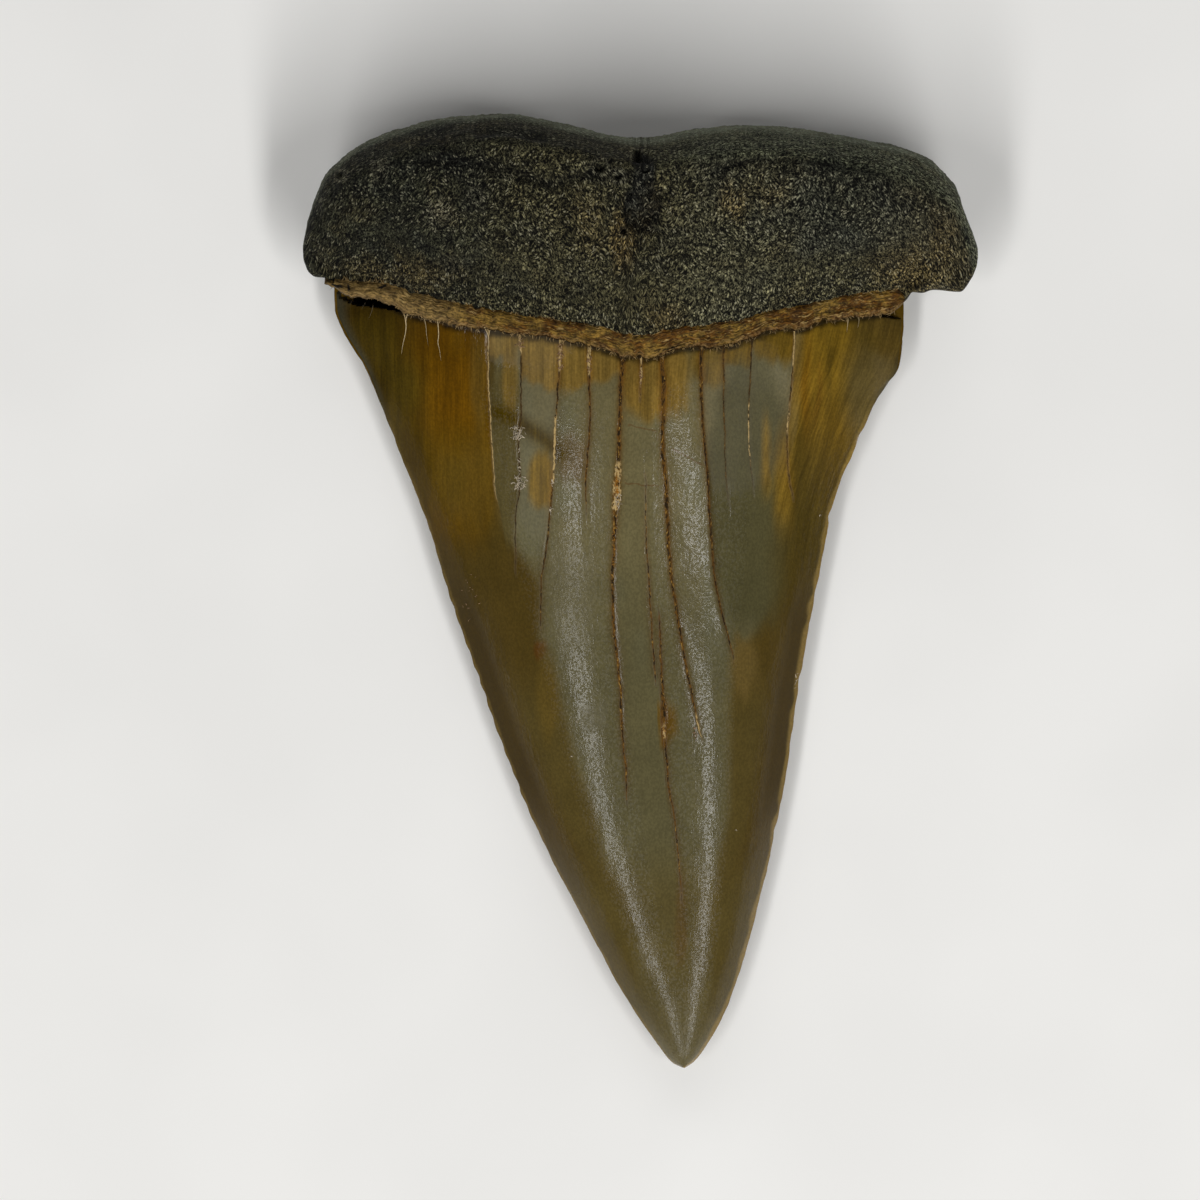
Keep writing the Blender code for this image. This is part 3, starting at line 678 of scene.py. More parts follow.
def root_section(x, span_steps):
    """The root's outline at x as (y, z) points: labial side, crest, neck, then the wall inside the crown."""
    neck, basal = neck_edge(x), basal_edge(x)
    depth = basal - neck
    crest = basal - min(CREST_INSET, 0.42 * depth)
    low, high, neck_top = labial_height(x), crest_height(x), neck_height(x)
    rim = low + BASAL_EDGE_SHARE * (high - low)
    share = lobe_share(x)
    band_width = min(BAND_WIDTH, 0.2 * depth)
    set_back = NECK_SET_BACK * (1 - share)
    band_top = neck + band_width
    face = crest - band_top
    rise = high - neck_top
    labial_face = [
        (neck + WALL_TUCK + 0.12 * depth * share, low),
        (neck + 0.45 * depth, low),
        (basal - 0.12 * depth, low + 0.12 * (high - low)),
    ]
    basal_face = [
        (basal, rim),
        (basal - 0.25 * (basal - crest), rim + 0.45 * (high - rim)),
        (crest + 0.35 * (basal - crest), high - 0.1 * (high - low)),
        (crest, high),
    ]
    lingual_face = [
        (crest - 0.25 * face, high - 0.06 * rise),
        (crest - 0.55 * face, high - 0.3 * rise),
        (band_top + 0.15 * face, neck_top + 0.3 * rise),
        (band_top, neck_top + 0.03 + 0.2 * rise * share),
    ]
    bone = through_spline(labial_face + basal_face + lingual_face, span_steps)
    neck_side = through_spline(
        [
            (band_top, neck_top + 0.03 + 0.2 * rise * share),
            (neck + max(0.45 * band_width, 1.2 * set_back), neck_top + 0.14 * rise * share),
            (neck + set_back, neck_top - 0.2 * (1 + share)),
            (neck + set_back + 0.3 * WALL_TUCK * (1 - share), (neck_top + low) / 2),
            (neck + WALL_TUCK + 0.12 * depth * share, low),
        ],
        [3, 4, 4, 5],
    )
    return bone[:-1] + neck_side[:-1], rim


def through_spline(points, steps):
    """Points along a smooth open line through the given points, with its own number of steps to each span."""
    line = []
    for i, count in enumerate(steps):
        before = points[max(i - 1, 0)]
        start, end = points[i], points[i + 1]
        after = points[min(i + 2, len(points) - 1)]
        for step in range(count):
            t = step / count
            line.append(tuple(catmull_rom(before[k], start[k], end[k], after[k], t) for k in (0, 1)))
    line.append(points[-1])
    return line


def catmull_rom(before, start, end, after, t):
    """One coordinate of a Catmull-Rom curve, t of the way from start to end."""
    square = (2 * before - 5 * start + 4 * end - after) * t * t
    cube = (3 * start - before - 3 * end + after) * t ** 3
    return 0.5 * (2 * start + (end - before) * t + square + cube)


def uneven(x, y):
    """Gentle swells in the root's bone, added to its height."""
    long_swell = np.sin(0.55 * x + 0.8) * np.sin(0.5 * y + 0.3 * x)
    short_swell = np.sin(1.15 * x - 0.7 * y + 2.0)
    return UNEVENNESS * (0.6 * long_swell + 0.4 * short_swell)


def distance_to(path, x, y):
    """How far points seen from above are from a line of (x, y) points."""
    nearest = np.full(np.shape(x), np.inf)
    for (ax, ay), (bx, by) in zip(path, path[1:]):
        square = (bx - ax) ** 2 + (by - ay) ** 2
        along = np.clip(((x - ax) * (bx - ax) + (y - ay) * (by - ay)) / square, 0.0, 1.0)
        gap = np.hypot(x - ax - along * (bx - ax), y - ay - along * (by - ay))
        nearest = np.minimum(nearest, gap)
    return nearest


def add_mesh(name, points, faces, material):
    """An object from arrays of points in millimetres and of faces, shaded smooth between its sharp edges."""
    data = bpy.data.meshes.new(name)
    data.from_pydata((points * MM).tolist(), [], faces)
    data.polygons.foreach_set("use_smooth", np.ones(len(data.polygons), bool))
    data.set_sharp_from_angle(angle=math.radians(SHARP_ANGLE))
    data.materials.append(material)
    made = bpy.data.objects.new(name, data)
    bpy.context.scene.collection.objects.link(made)
    return made


def loft(name, rings, material):
    """A closed object through an array of rings of points (ring, point, xyz), capped at both ends."""
    rows, columns = rings.shape[:2]
    here = np.arange(rows * columns).reshape(rows, columns)
    beside = np.roll(here, -1, axis=1)
    quads = np.stack([here[:-1], beside[:-1], beside[1:], here[1:]], axis=-1).reshape(-1, 4)
    ends = rings[[0, -1]].mean(axis=1)
    first, last = rows * columns, rows * columns + 1
    first_fan = [(first, b, a) for a, b in zip(here[0].tolist(), beside[0].tolist())]
    last_fan = [(last, a, b) for a, b in zip(here[-1].tolist(), beside[-1].tolist())]
    points = np.concatenate([rings.reshape(-1, 3), ends])
    return add_mesh(name, points, quads.tolist() + first_fan + last_fan, material)


def store(piece, name, values):
    """Keeps numbers for a piece's material at its points: one number, or a vector or colour each."""
    values = np.asarray(values, np.float32)
    size = 1 if values.ndim == 2 else 3
    values = values.reshape(-1, size)
    ends = len(piece.data.vertices) - len(values)
    values = np.concatenate([values, np.repeat(values[-1:], ends, axis=0)])
    kind, field = ("FLOAT", "value") if size == 1 else ("FLOAT_VECTOR", "vector")
    piece.data.attributes.new(name, kind, "POINT").data.foreach_set(field, values.ravel())


def normals_of(rings):
    """Outward directions at the points of a loft's rings."""
    along = np.gradient(rings, axis=0)
    around = np.roll(rings, -1, axis=1) - np.roll(rings, 1, axis=1)
    outward = np.cross(around, along)
    return outward / np.maximum(np.linalg.norm(outward, axis=-1, keepdims=True), 1e-9)


class Value:
    """What a material's node puts out, with arithmetic that adds further nodes."""

    def __init__(self, surface, socket):
        self.surface = surface
        self.socket = socket

    def __add__(self, other):
        return self.surface.math("ADD", self, other)

    def __sub__(self, other):
        return self.surface.math("SUBTRACT", self, other)

    def __rsub__(self, other):
        return self.surface.math("SUBTRACT", other, self)

    def __mul__(self, other):
        return self.surface.math("MULTIPLY", self, other)

    def __truediv__(self, other):
        return self.surface.math("DIVIDE", self, other)

    def sibling(self, name):
        """Another output of the same node."""
        return Value(self.surface, self.socket.node.outputs[name])


class Surface:
    """A material, or the world, made of nodes. Most methods add a node and return its output."""

    def __init__(self, name, kind=bpy.data.materials, shader="Principled BSDF"):
        self.made = kind.new(name)
        self.made.use_nodes = True
        self.tree = self.made.node_tree
        self.shader = self.tree.nodes[shader]

    def finish(self, **values):
        """Gives the shader its values and returns what was made."""
        for name, value in values.items():
            self.put(value, self.shader.inputs[name.replace("_", " ")])
        return self.made

    def put(self, value, socket):
        """Links a value to a socket, or gives the socket a fixed number, vector or colour."""
        if isinstance(value, Value):
            self.tree.links.new(value.socket, socket)
        elif socket.type == "RGBA":
            socket.default_value = (*linear(value), 1.0)
        else:
            socket.default_value = value

    def node(self, kind, inputs, output=0, **settings):
        """A node with those settings, and with inputs in their order or by name or number."""
        made = self.tree.nodes.new("ShaderNode" + kind)
        for name, value in settings.items():
            setattr(made, name, value)
        inputs = inputs if isinstance(inputs, dict) else dict(enumerate(inputs))
        for key, value in inputs.items():
            self.put(value, made.inputs[key])
        return Value(self, made.outputs[output])

    def math(self, operation, *values):
        return self.node("Math", values, operation=operation)

    def highest(self, first, *others):
        for other in others:
            first = self.math("MAXIMUM", first, other)
        return first

    def ramp(self, value, low, high, start=0.0, end=1.0):
        """start below low, end above high, and a smooth change between them."""
        return self.node("MapRange", (value, low, high, start, end), interpolation_type="SMOOTHSTEP")

    def mix(self, share, first, second, blend_type="MIX"):
        inputs = {0: share, 6: first, 7: second}
        return self.node("Mix", inputs, 2, data_type="RGBA", blend_type=blend_type)

    def attribute(self, name, output="Vector"):
        """A piece's stored vector, or its number with the output Fac."""
        return self.node("Attribute", (), output, attribute_name=name)

    def parts(self, vector):
        """The three numbers of a vector."""
        first = self.node("SeparateXYZ", [vector])
        return [first.sibling(name) for name in "XYZ"]

    def scale(self, vector, share):
        return self.node("VectorMath", {"Vector": vector, "Scale": share}, operation="SCALE")

    def stretch(self, vector, rates):
        """The vector times the rates, so that a pattern of size 1 has so many lumps to a millimetre."""
        return self.node("VectorMath", (vector, rates), operation="MULTIPLY")

    def turn(self, vector, degrees):
        """The vector turned about its third axis."""
        inputs = {"Vector": vector, "Angle": math.radians(degrees)}
        return self.node("VectorRotate", inputs, rotation_type="Z_AXIS")

    def noise(self, vector, rate, detail=2.0, roughness=0.5, distortion=0.0, output=0):
        """Noise with rate lumps to a millimetre, or with a rate for each of the three axes."""
        if isinstance(rate, tuple):
            vector, rate = self.stretch(vector, rate), 1.0
        inputs = dict(Vector=vector, Scale=rate, Detail=detail, Roughness=roughness, Distortion=distortion)
        return self.node("TexNoise", inputs, output)

    def bump(self, height, distance, under=None, strength=1.0):
        """Relief of that height in millimetres, on top of the relief under it."""
        inputs = {"Height": height, "Distance": distance * MM, "Strength": strength}
        if under is not None:
            inputs["Normal"] = under
        return self.node("Bump", inputs)

    def place(self):
        """Millimetres in the tooth's own frame."""
        return self.stretch(self.node("TexCoord", (), "Object"), (1 / MM,) * 3)

    def line(self, place, start, end, half_width=0.035):
        """1 on a thin line from start to end (x, y in millimetres) that wanders a little, 0 off it."""
        x, y, _ = self.parts(place)
        length = math.dist(start, end)
        way_x, way_y = (end[0] - start[0]) / length, (end[1] - start[1]) / length
        along = (x - start[0]) * way_x + (y - start[1]) * way_y
        aside = (y - start[1]) * way_x - (x - start[0]) * way_y
        aside = aside + (self.noise(place, 2.5, 1.0) - 0.5) * 0.3
        inside = self.ramp(along, 0.0, 0.15) * self.ramp(along, length, length - 0.3)
        return inside * self.ramp(self.math("ABSOLUTE", aside), 2 * half_width, half_width)


def layered(ground, layers):
    """The ground's colour at each point, under layers of (tone, share at each point)."""
    tint = linear(ground)
    for tone, share in layers:
        tint = tint + (linear(tone) - tint) * share[..., None]
    return tint


def crown_guides(rows):
    """x of each crack's line at every row, from the neck to the point, as an array (row, crack)."""
    lines = []
    for number, crack in enumerate(CRACKS):
        low_x, low_y = crack.path[-1]
        left, right = left_cutting_edge(low_y), right_cutting_edge(low_y)
        low_share = (low_x - left) / (right - left)
        below = np.linspace(-HALF_LENGTH, low_y, BELOW_CRACK, endpoint=False)
        left, right = left_cutting_edge(below), right_cutting_edge(below)
        share = crack.tip_share + (low_share - crack.tip_share) * (below - below[0]) / (low_y - below[0])
        knots = list(zip(below, left + (right - left) * share)) + [(y, x) for x, y in crack.path[::-1]]
        knots.append((INSIDE_ROOT, crack.path[0][0]))
        wiggle = noise(rows, 7.3 * number, 0.0, 0.7) + 0.8 * noise(rows, 7.3 * number, 5.0, 0.25)
        lines.append(curve_through(knots)(rows) + CRACK_WIGGLE * wiggle * smooth_step(-31.0, -20.0, rows))
    return np.stack(lines, axis=1)


def crown_edges(rows):
    """x of the two cutting edges, with their ripples and chips."""
    left, right = left_cutting_edge(rows), right_cutting_edge(rows)
    wide = np.minimum(1.0, (right - left) / 8)
    ripple = 0.05 * np.sin(rows * 2 * math.pi / 1.45 + 0.6 * np.sin(rows)) * hump(-6.0, 10.0, rows)
    left = left + wide * (ripple + 0.035 * noise(rows, 1.0, 0.0, 0.8) + 0.02 * noise(rows, 1.0, 3.0, 0.3))
    right = right + wide * (0.04 * noise(rows, 9.0, 0.0, 1.1) + 0.03 * noise(rows, 9.0, 3.0, 0.35))
    for y, reach, depth in RIGHT_CHIPS:
        right = right - depth * hump(y, reach, rows)
    return left, right


def strip_height(strip, place, leaning, flattened):
    """How high a strip of enamel stands at a place across it, from -1 at its left to 1 at its right side."""
    height = leaning * (STRIP_RISE[strip] + STRIP_LEAN[strip] * place / 2)
    return height + flattened * (place ** 2 - 1 / 3) * (strip == FLAT_STRIP)


def crown_columns(rows):
    """The lingual face's columns as arrays (row, column): x, height over the dome, then how far to the right
    of the nearest crack they lie and its half width, stain and cream filling. Last is each column's strip."""
    left, right = crown_edges(rows)
    margin = 0.01 * (right - left)
    guides = np.clip(crown_guides(rows), (left + margin)[:, None], (right - margin)[:, None])
    groove = np.minimum(CRACK_COLUMN, 0.012 * (right - left))
    spacing = (3 * groove)[:, None] * np.arange(len(CRACKS))
    guides = np.maximum.accumulate(guides - spacing, axis=1) + spacing
    leaning = smooth_step(0.0, 9.0, rows) * smooth_step(15.6, 13.2, rows)
    half_strip = (guides[:, FLAT_STRIP] - guides[:, FLAT_STRIP - 1]) / 2
    flattened = smooth_step(-4.5, -0.5, rows) * smooth_step(14.0, 12.0, rows) * FLATTENING * half_strip ** 2
    halves = [curve_through(crack.half_width)(rows) * (rows > crack.half_width[0][0]) for crack in CRACKS]
    halves = np.stack(halves, axis=1)
    pales = np.zeros(guides.shape)
    for number, crack in enumerate(CRACKS):
        for high, low in crack.pale:
            pales[:, number] += smooth_step(low - 0.3, low, rows) * smooth_step(high + 0.3, high, rows)

    columns = []
    last = len(CRACKS)
    for strip, count in enumerate(LINGUAL_COLUMNS):
        start = left if strip == 0 else guides[:, strip - 1] + groove
        end = right if strip == last else guides[:, strip] - groove
        for share in np.linspace(0, 1, count):
            height = strip_height(strip, 2 * share - 1, leaning, flattened)
            columns.append((start + (end - start) * share, height, strip))
        if strip == last:
            break
        one_side = strip_height(strip, 1.0, leaning, flattened)
        other_side = strip_height(strip + 1, -1.0, leaning, flattened)
        for offset in (-0.5, 0.0, 0.5):
            height = between(one_side, other_side, (offset + 1) / 2)
            height = height - CRACK_DEPTH_SHARE * halves[:, strip] * (1 - offset ** 2)
            columns.append((guides[:, strip] + offset * groove, height, strip + (offset > 0)))
    x, height = [np.stack([column[part] for column in columns], axis=1) for part in (0, 1)]
    strips = np.array([column[2] for column in columns])
    away = x[:, :, None] - guides[:, None, :]
    nearest = np.argmin(np.abs(away), axis=2)
    aside = np.take_along_axis(away, nearest[:, :, None], axis=2)[:, :, 0]
    half = np.take_along_axis(halves, nearest, axis=1)
    stain = np.array([crack.stain for crack in CRACKS])[nearest] * (half > 0)
    pale = np.take_along_axis(pales, nearest, axis=1)
    return x, height, aside, half, stain, pale, strips


def patch_share(patch, x, y, strips=0):
    """How far each point takes on a patch's colour, with a border that wanders a little."""
    x = x + 0.25 * noise(x, y * 0.4, patch.x, 0.9)
    y = y + 0.5 * noise(x * 2.0, y * 0.5, patch.y, 1.0) + 0.25 * noise(x * 3.0, y, patch.y + 5, 0.7)
    away_x, away_y = np.abs((x - patch.x) / patch.half_x), np.abs((y - patch.y) / patch.half_y)
    away = (away_x ** 2.4 + away_y ** 2.4) ** (1 / 2.4)
    share = smooth_step(1 + patch.soft / 2, 1 - patch.soft / 2, away)
    first, last = patch.strips
    return patch.strength * share * (strips >= first) * (strips <= last)


def from_cutting_edge(y, u):
    """Distance to the nearer cutting edge."""
    return (1 - np.abs(u)) * (right_cutting_edge(y) - left_cutting_edge(y)) / 2


def left_right(u, left, right):
    """One value left of the crown's middle and another right of it."""
    return np.where(u < 0, left, right)


def margin_share(y, u):
    """How far the enamel darkens to the dark margin along the cutting edges."""
    above = left_right(u, 0.45, 0.15)
    below = left_right(u, 0.95, 0.85) - left_right(u, 0.2, 0.35) * smooth_step(-12.0, -18.0, y)
    share = between(above, below, smooth_step(4.0, -3.0, y))
    share = share * smooth_step(16.0, 11.0, y) * (1 - 0.6 * smooth_step(-11.0, -22.0, y))
    return share * smooth_step(-31.0, -27.0, y) * smooth_step(2.1, 0.9, from_cutting_edge(y, u))


def enamel_tint(x, y, u, strips, end):
    """The enamel's colour on the lingual face."""
    wander = 0.3 * noise(x, y * 0.4, 3.0, 1.4)
    soft = 0.1 + 0.6 * smooth_step(8.0, 4.0, y)
    core = smooth_step(-soft, soft, x - grey_left(y) + wander)
    core = core * smooth_step(-soft, soft, grey_right(y) - x + wander)
    cool = smooth_step(0.0, 0.6, noise(x * 0.8, y * 0.35, 60.0, 1.3)) * smooth_step(-8.0, 0.0, y)
    mottle = smooth_step(-0.1, 0.7, noise(x, y * 0.45, 40.0, 1.5)) * smooth_step(0.0, 6.0, y)
    from_edge = from_cutting_edge(y, u)
    flank = 0.8 * (1 - core) * smooth_step(-4.0, -9.0, y) * smooth_step(1.3, 2.8, from_edge)
    top_rim = left_right(u, 0.8, 0.4) * smooth_step(9.0, 15.0, y) * (1 + 0.5 * noise(y, x * 0.1, 2.0, 1.6))
    # Painted light along the thin cutting edges, stronger on the right than on the left
    edge_light_width = left_right(u, 0.15, 0.26) * (1 + 0.6 * noise(y, x * 0.1, 6.0, 0.9))
    rim = left_right(u, 0.4, 0.85) * smooth_step(14.0, 9.0, y) * smooth_step(1.4, 0.5, from_edge / edge_light_width)
    layers = [
        (GREY, core),
        (LOW_GREY, core * smooth_step(8.0, -6.0, y)),
        (COOL_GREY, 0.3 * core * cool),
        (LOW_OLIVE, np.maximum(flank, (1 - 0.3 * core) * smooth_step(-15.0, -21.0, y))),
    ]
    for patch in ENAMEL_PATCHES:
        layers.append((patch.colour, patch_share(patch, x, y, strips)))
    layers.append((YELLOW_OLIVE, 0.35 * mottle * (1 - core)))
    for tone, path, reach, strength in SMEARS:
        layers.append((tone, strength * hump(0.0, reach, distance_to(path, x, y))))
    layers += [
        (TIP_CREAM, 0.9 * smooth_step(-24.0, -31.0, y)),
        (TOP_RIM, 0.8 * smooth_step(1.1, 0.2, from_edge / np.maximum(top_rim, 0.01))),
        (MARGIN, margin_share(y, u)),
        (PAINTED_EDGE_LIGHT, rim),
        # Painted shadow: a dark line along the neck band's lower edge, and the gap behind the enamel's upper
        # border painted near black
        (PAINTED_SHADOW, 0.85 * smooth_step(0.5, 0.05, band_lower(x) - y + 0.15 * noise(x, y, 4.0, 0.4))),
        (PAINTED_SHADOW, 0.98 * smooth_step(-0.02, 0.04, y - end)),
    ]
    return layered(OLIVE, layers)


Crown = namedtuple("Crown", "rows x y z aside crack finish pitted tint")


def lingual_face():
    """The crown's lingual face, with its cracks, as arrays (row, column)."""
    rows = np.concatenate([np.linspace(low, high, count, endpoint=False) for low, high, count in CROWN_ROWS])
    rows = np.append(rows, ENAMEL_BASE)
    x, height, aside, half, stain, pale, strips = crown_columns(rows)
    y = np.broadcast_to(rows[:, None], x.shape)
    u = np.clip(across(x, y), -1.0, 1.0)
    wide = np.minimum(1.0, (x[:, -1:] - x[:, :1]) / 10)
    inner = 1 - np.abs(u) ** 6
    swell = 0.03 * noise(x, y * 0.4, 0.0, 2.2) + 0.012 * noise(x, y * 0.4, 9.0, 0.8)
    dome = crown_lingual(u, y)
    end = enamel_end(x) + 0.05 * noise(x, y, 6.0, 0.5)
    behind = smooth_step(0.0, DROP_WIDTH, y - end)
    drop = np.minimum(ENAMEL_DROP, DROP_SHARE * (dome - crown_labial(u, y))) * behind
    z = dome + wide * inner * (height + swell) - drop - NECK_DIP * smooth_step(11.5, 16.5, y)

    tint = enamel_tint(x, y, u, strips, end)
    golden = smooth_step(0.66, 0.9, 1 - tint[..., 2] / tint[..., 0]) * smooth_step(-1.0, 7.0, y)
    golden = golden * np.where(strips == 0, 0.4 + 0.4 * smooth_step(8.0, 14.0, y), 1.0)
    matt = np.maximum(0.3 * smooth_step(0.4, 0.1, band_lower(x) - y), behind)
    for patch in WORN_PATCHES:
        matt = np.maximum(matt, patch_share(patch, x, y, strips))
    matt = np.maximum(matt, MARGIN_ROUGHNESS * margin_share(y, u))
    pitted = np.maximum(smooth_step(0.05, 0.2, np.abs(u)), smooth_step(-20.0, -26.0, y))
    pitted = pitted * smooth_step(0.65, 0.52, np.abs(u)) * smooth_step(14.5, 12.5, y)
    crack = np.stack([np.abs(aside), half, stain], axis=-1)
    finish = np.stack([golden, pale, matt], axis=-1)
    return Crown(rows, x, y, z, aside, crack, finish, pitted, tint)


def labial_face(front):
    """The crown's labial face under a lingual one, in the same form."""
    left, right = front.x[:, :1], front.x[:, -1:]
    columns = np.cos(np.linspace(0, math.pi, LABIAL_COLUMNS + 2))[1:-1]
    share = ((front.rows + HALF_LENGTH) / (ENAMEL_BASE + HALF_LENGTH)) ** (1 / 1.35)
    arch = ENAMEL_ARCH * smooth_step(0.75, 1.0, share)[:, None] * (1 - columns ** 2)
    x = (left + right) / 2 + (right - left) / 2 * columns
    y = front.rows[:, None] - arch
    swell = 0.04 * np.abs(noise(x, y, 20.0, 2.0)) * (np.abs(columns) > FLAT_SHARE)
    gap = np.min([distance_to(path, x, y) for path in LABIAL_CRACKS], axis=0)
    groove = 0.1 * smooth_step(0.2, 0.0, gap)
    wide = np.minimum(1.0, (right - left) / 10)
    u = np.clip(across(x, front.rows[:, None]), -1.0, 1.0)
    z = crown_labial(u, front.rows[:, None]) + wide * (1 - columns ** 6) * (swell + groove)
    layers = [
        (LOW_GREY, hump(0.0, 0.5, columns) * smooth_step(-10.0, 10.0, y)),
        (AMBER, 0.6 * smooth_step(0.0, 0.8, noise(x, y * 0.3, 30.0, 3.0))),
        (TIP_CREAM, 0.8 * smooth_step(-24.0, -31.0, y)),
    ]
    crack = np.stack([gap, np.full(x.shape, LABIAL_CRACK_WIDTH), np.full(x.shape, 0.8)], axis=-1)
    finish = np.broadcast_to(np.array([0.4, 0.0, 0.0]), x.shape + (3,))
    return Crown(front.rows, x, y, z, gap, crack, finish, 0 * x, layered(OLIVE, layers))


def make_crown(front):
    """The crown: a fine loft of the lingual face, whose columns follow the cracks, and the labial face."""
    back = labial_face(front)
    sides = [np.stack([side.x, side.y, side.z], axis=-1) for side in (front, back)]
    crown = loft("crown", np.concatenate(sides, axis=1), enamel_material())
    crown.data.materials.append(painted_gap_shadow_material())
    columns_around = front.x.shape[1] + back.x.shape[1]
    for row, column in zip(*np.nonzero(front.finish[:-1, :-1, 2] > IN_GAP)):
        crown.data.polygons[int(row * columns_around + column)].material_index = 1
    for name in ("tint", "crack", "aside", "pitted", "finish"):
        store(crown, name, np.concatenate([getattr(front, name), getattr(back, name)], axis=1))

    widening = (front.x[:, -1:] - front.x[:, :1]) / STREAK_WIDTH
    narrowing = np.minimum(1.0, widening)
    from_middle = front.x - midline(front.y)
    from_middle = from_middle / np.where(from_middle > 0, widening, narrowing)
    flow = np.stack([from_middle, front.y, 0 * front.x], axis=-1)
    back_flow = np.stack([(back.x - midline(back.y)) / narrowing, back.y, 0 * back.x + 30.0], axis=-1)
    store(crown, "flow", np.concatenate([flow, back_flow], axis=1))
    return crown


def streaked_enamel(s, place, golden):
    """The enamel's colour with its streaks, clouds, grain and scratches, and its fine streaks alone."""
    flow = s.attribute("flow")
    streaks = s.ramp(s.noise(flow, (1.9, 0.13, 1.0), 3.0, 0.65), 0.32, 0.68, -1.0, 1.0)
    fine_streaks = s.ramp(s.noise(flow, (8.0, 0.3, 1.0), 2.0, 0.6), 0.32, 0.68, -1.0, 1.0)
    shade = (streaks * (golden * 0.2 + 0.02) + 1.0) * (fine_streaks * (golden * 0.14 + 0.015) + 1.0)
    clouds = s.ramp(s.noise(place, 0.4, 3.0, 0.55, 0.3), 0.25, 0.75, 0.97, 1.13)
    grain = s.ramp(s.noise(place, (7.0, 5.0, 7.0), 1.0, 0.6), 0.3, 0.7, 0.88, 1.12)
    base = s.scale(s.attribute("tint"), shade * (clouds * grain))
    scratched = s.highest(*[s.line(place, start, end) for start, end in SCRATCHES])
    return s.mix(scratched * 0.4, base, RUST), fine_streaks


def crack_filling(s, place, stain, pale):
    """What fills the cracks: dark and rusty blotches, glints, and cream mineral where they are pale."""
    blotch = s.ramp(s.noise(place, (7.0, 2.2, 7.0), 2.0, 0.7), 0.42, 0.56)
    glints = s.ramp(s.noise(place, (8.0, 3.2, 8.0), 1.0, 0.6), 0.61, 0.68)
    cream = s.ramp(s.noise(place, (5.0, 2.2, 5.0), 2.0, 0.7), 0.36, 0.52)
    filling = s.mix(blotch * stain, CRACK_DARK, CRACK_RUST)
    filling = s.mix(glints * (stain * 0.7), filling, CRACK_GOLD)
    return s.mix(pale * cream, filling, CREAM)


def enamel_material():
    """Glossy fossil enamel: growth streaks, stained cracks, and fine pits that break up its highlights."""
    s = Surface("enamel")
    place = s.place()
    near, half, stain = s.parts(s.attribute("crack"))
    golden, pale, matt = s.parts(s.attribute("finish"))
    base, fine_streaks = streaked_enamel(s, place, golden)

    jagged = s.noise(place, (2.0, 5.0, 2.0), 3.0, 0.7)
    ragged = s.noise(place, (6.0, 2.6, 6.0), 3.0, 0.7)
    wandering = s.math("ABSOLUTE", (jagged - 0.5) * 0.1 + s.attribute("aside", "Fac"))
    gap = s.highest(wandering, near - 0.06)
    wide = half * s.ramp(ragged, 0.3, 0.7, 0.5, 1.5)
    line = s.ramp(gap - wide, -0.03, 0.03, 1.0, 0.0) * s.ramp(half, 0.005, 0.03)
    halo = s.math("EXPONENT", (half - gap) / (ragged * 0.3 + 0.02))
    halo = s.math("MINIMUM", halo, 1.0) * (stain * s.ramp(half, 0.005, 0.05))
    base = s.mix(halo * 0.85, base, s.mix(1.0, base, CRACK_STAIN, "MULTIPLY"))
    base = s.mix(line, base, crack_filling(s, place, stain, pale))

    pitting = s.noise(place, (6.6, 5.5, 6.6), 2.0, 0.6)
    dull = s.ramp(pitting, 0.44, 0.48, PITTED, 0.0) * s.attribute("pitted", "Fac")
    beside_crack = s.ramp(gap, 0.14, 0.08) * s.ramp(half, 0.005, 0.03)
    rough = s.highest(dull + SMOOTH, beside_crack * BESIDE_CRACK, line, matt)
    bump = s.bump(fine_streaks, 0.0008, s.bump(pitting, 0.012))
    bump = s.bump(s.noise(place, (1.6, 0.8, 1.6)), 0.03, bump)
    return s.finish(Base_Color=base, Roughness=rough, Normal=bump, Specular_IOR_Level=0.23)


def painted_gap_shadow_material():
    """Painted shadow in the gap under the neck band: near black, mottled and without gloss."""
    s = Surface("gap_painted_shadow")
    mottle = s.ramp(s.noise(s.place(), 3.0), 0.3, 0.7, 0.5, 1.5)
    return s.finish(Base_Color=s.scale(s.attribute("tint"), mottle), Roughness=1.0, Specular_IOR_Level=0.0)


def root_relief(x, y, z, top):
    """Height added to the root's bone along its outward direction."""
    relief = 0.08 * noise(x, y, z, 2.6) + 0.05 * noise(x, y, z + 20, 1.1)
    relief = relief + 0.04 * noise(x * 1.9, y * 0.8, z * 0.8, 0.33) + 0.03 * noise(x, y, z + 50, 0.2)
    for path, reach, depth in FURROWS:
        relief = relief - top * depth * hump(0.0, reach, distance_to(path, x, y))
    for px, py, radius, depth in FORAMINA:
        away = np.hypot(x - px, y - py) / radius
        rim = 0.12 * hump(1.35, 0.3, away) * radius
        relief = relief + top * (rim - depth * smooth_step(1.05, 0.45, away))
    sponge = 0.5 + 0.5 * noise(x, y, 8.0, 0.36) + 0.3 * noise(x, y, 12.0, 0.18)
    return relief - top * hollow_depth(x, y) * (0.3 + 0.9 * sponge)


def hollow_depth(x, y):
    """Depth of the spongy hollows at a point, before their lumps."""
    total = 0.0
    for px, py, half_x, half_y, depth in HOLLOWS:
        ragged = 0.35 * noise(x, y, 16.0, 0.7)
        away = np.hypot((x - px) / half_x, (y - py) / half_y) + ragged
        total = np.maximum(total, depth * smooth_step(1.15, 0.75, away))
    return total


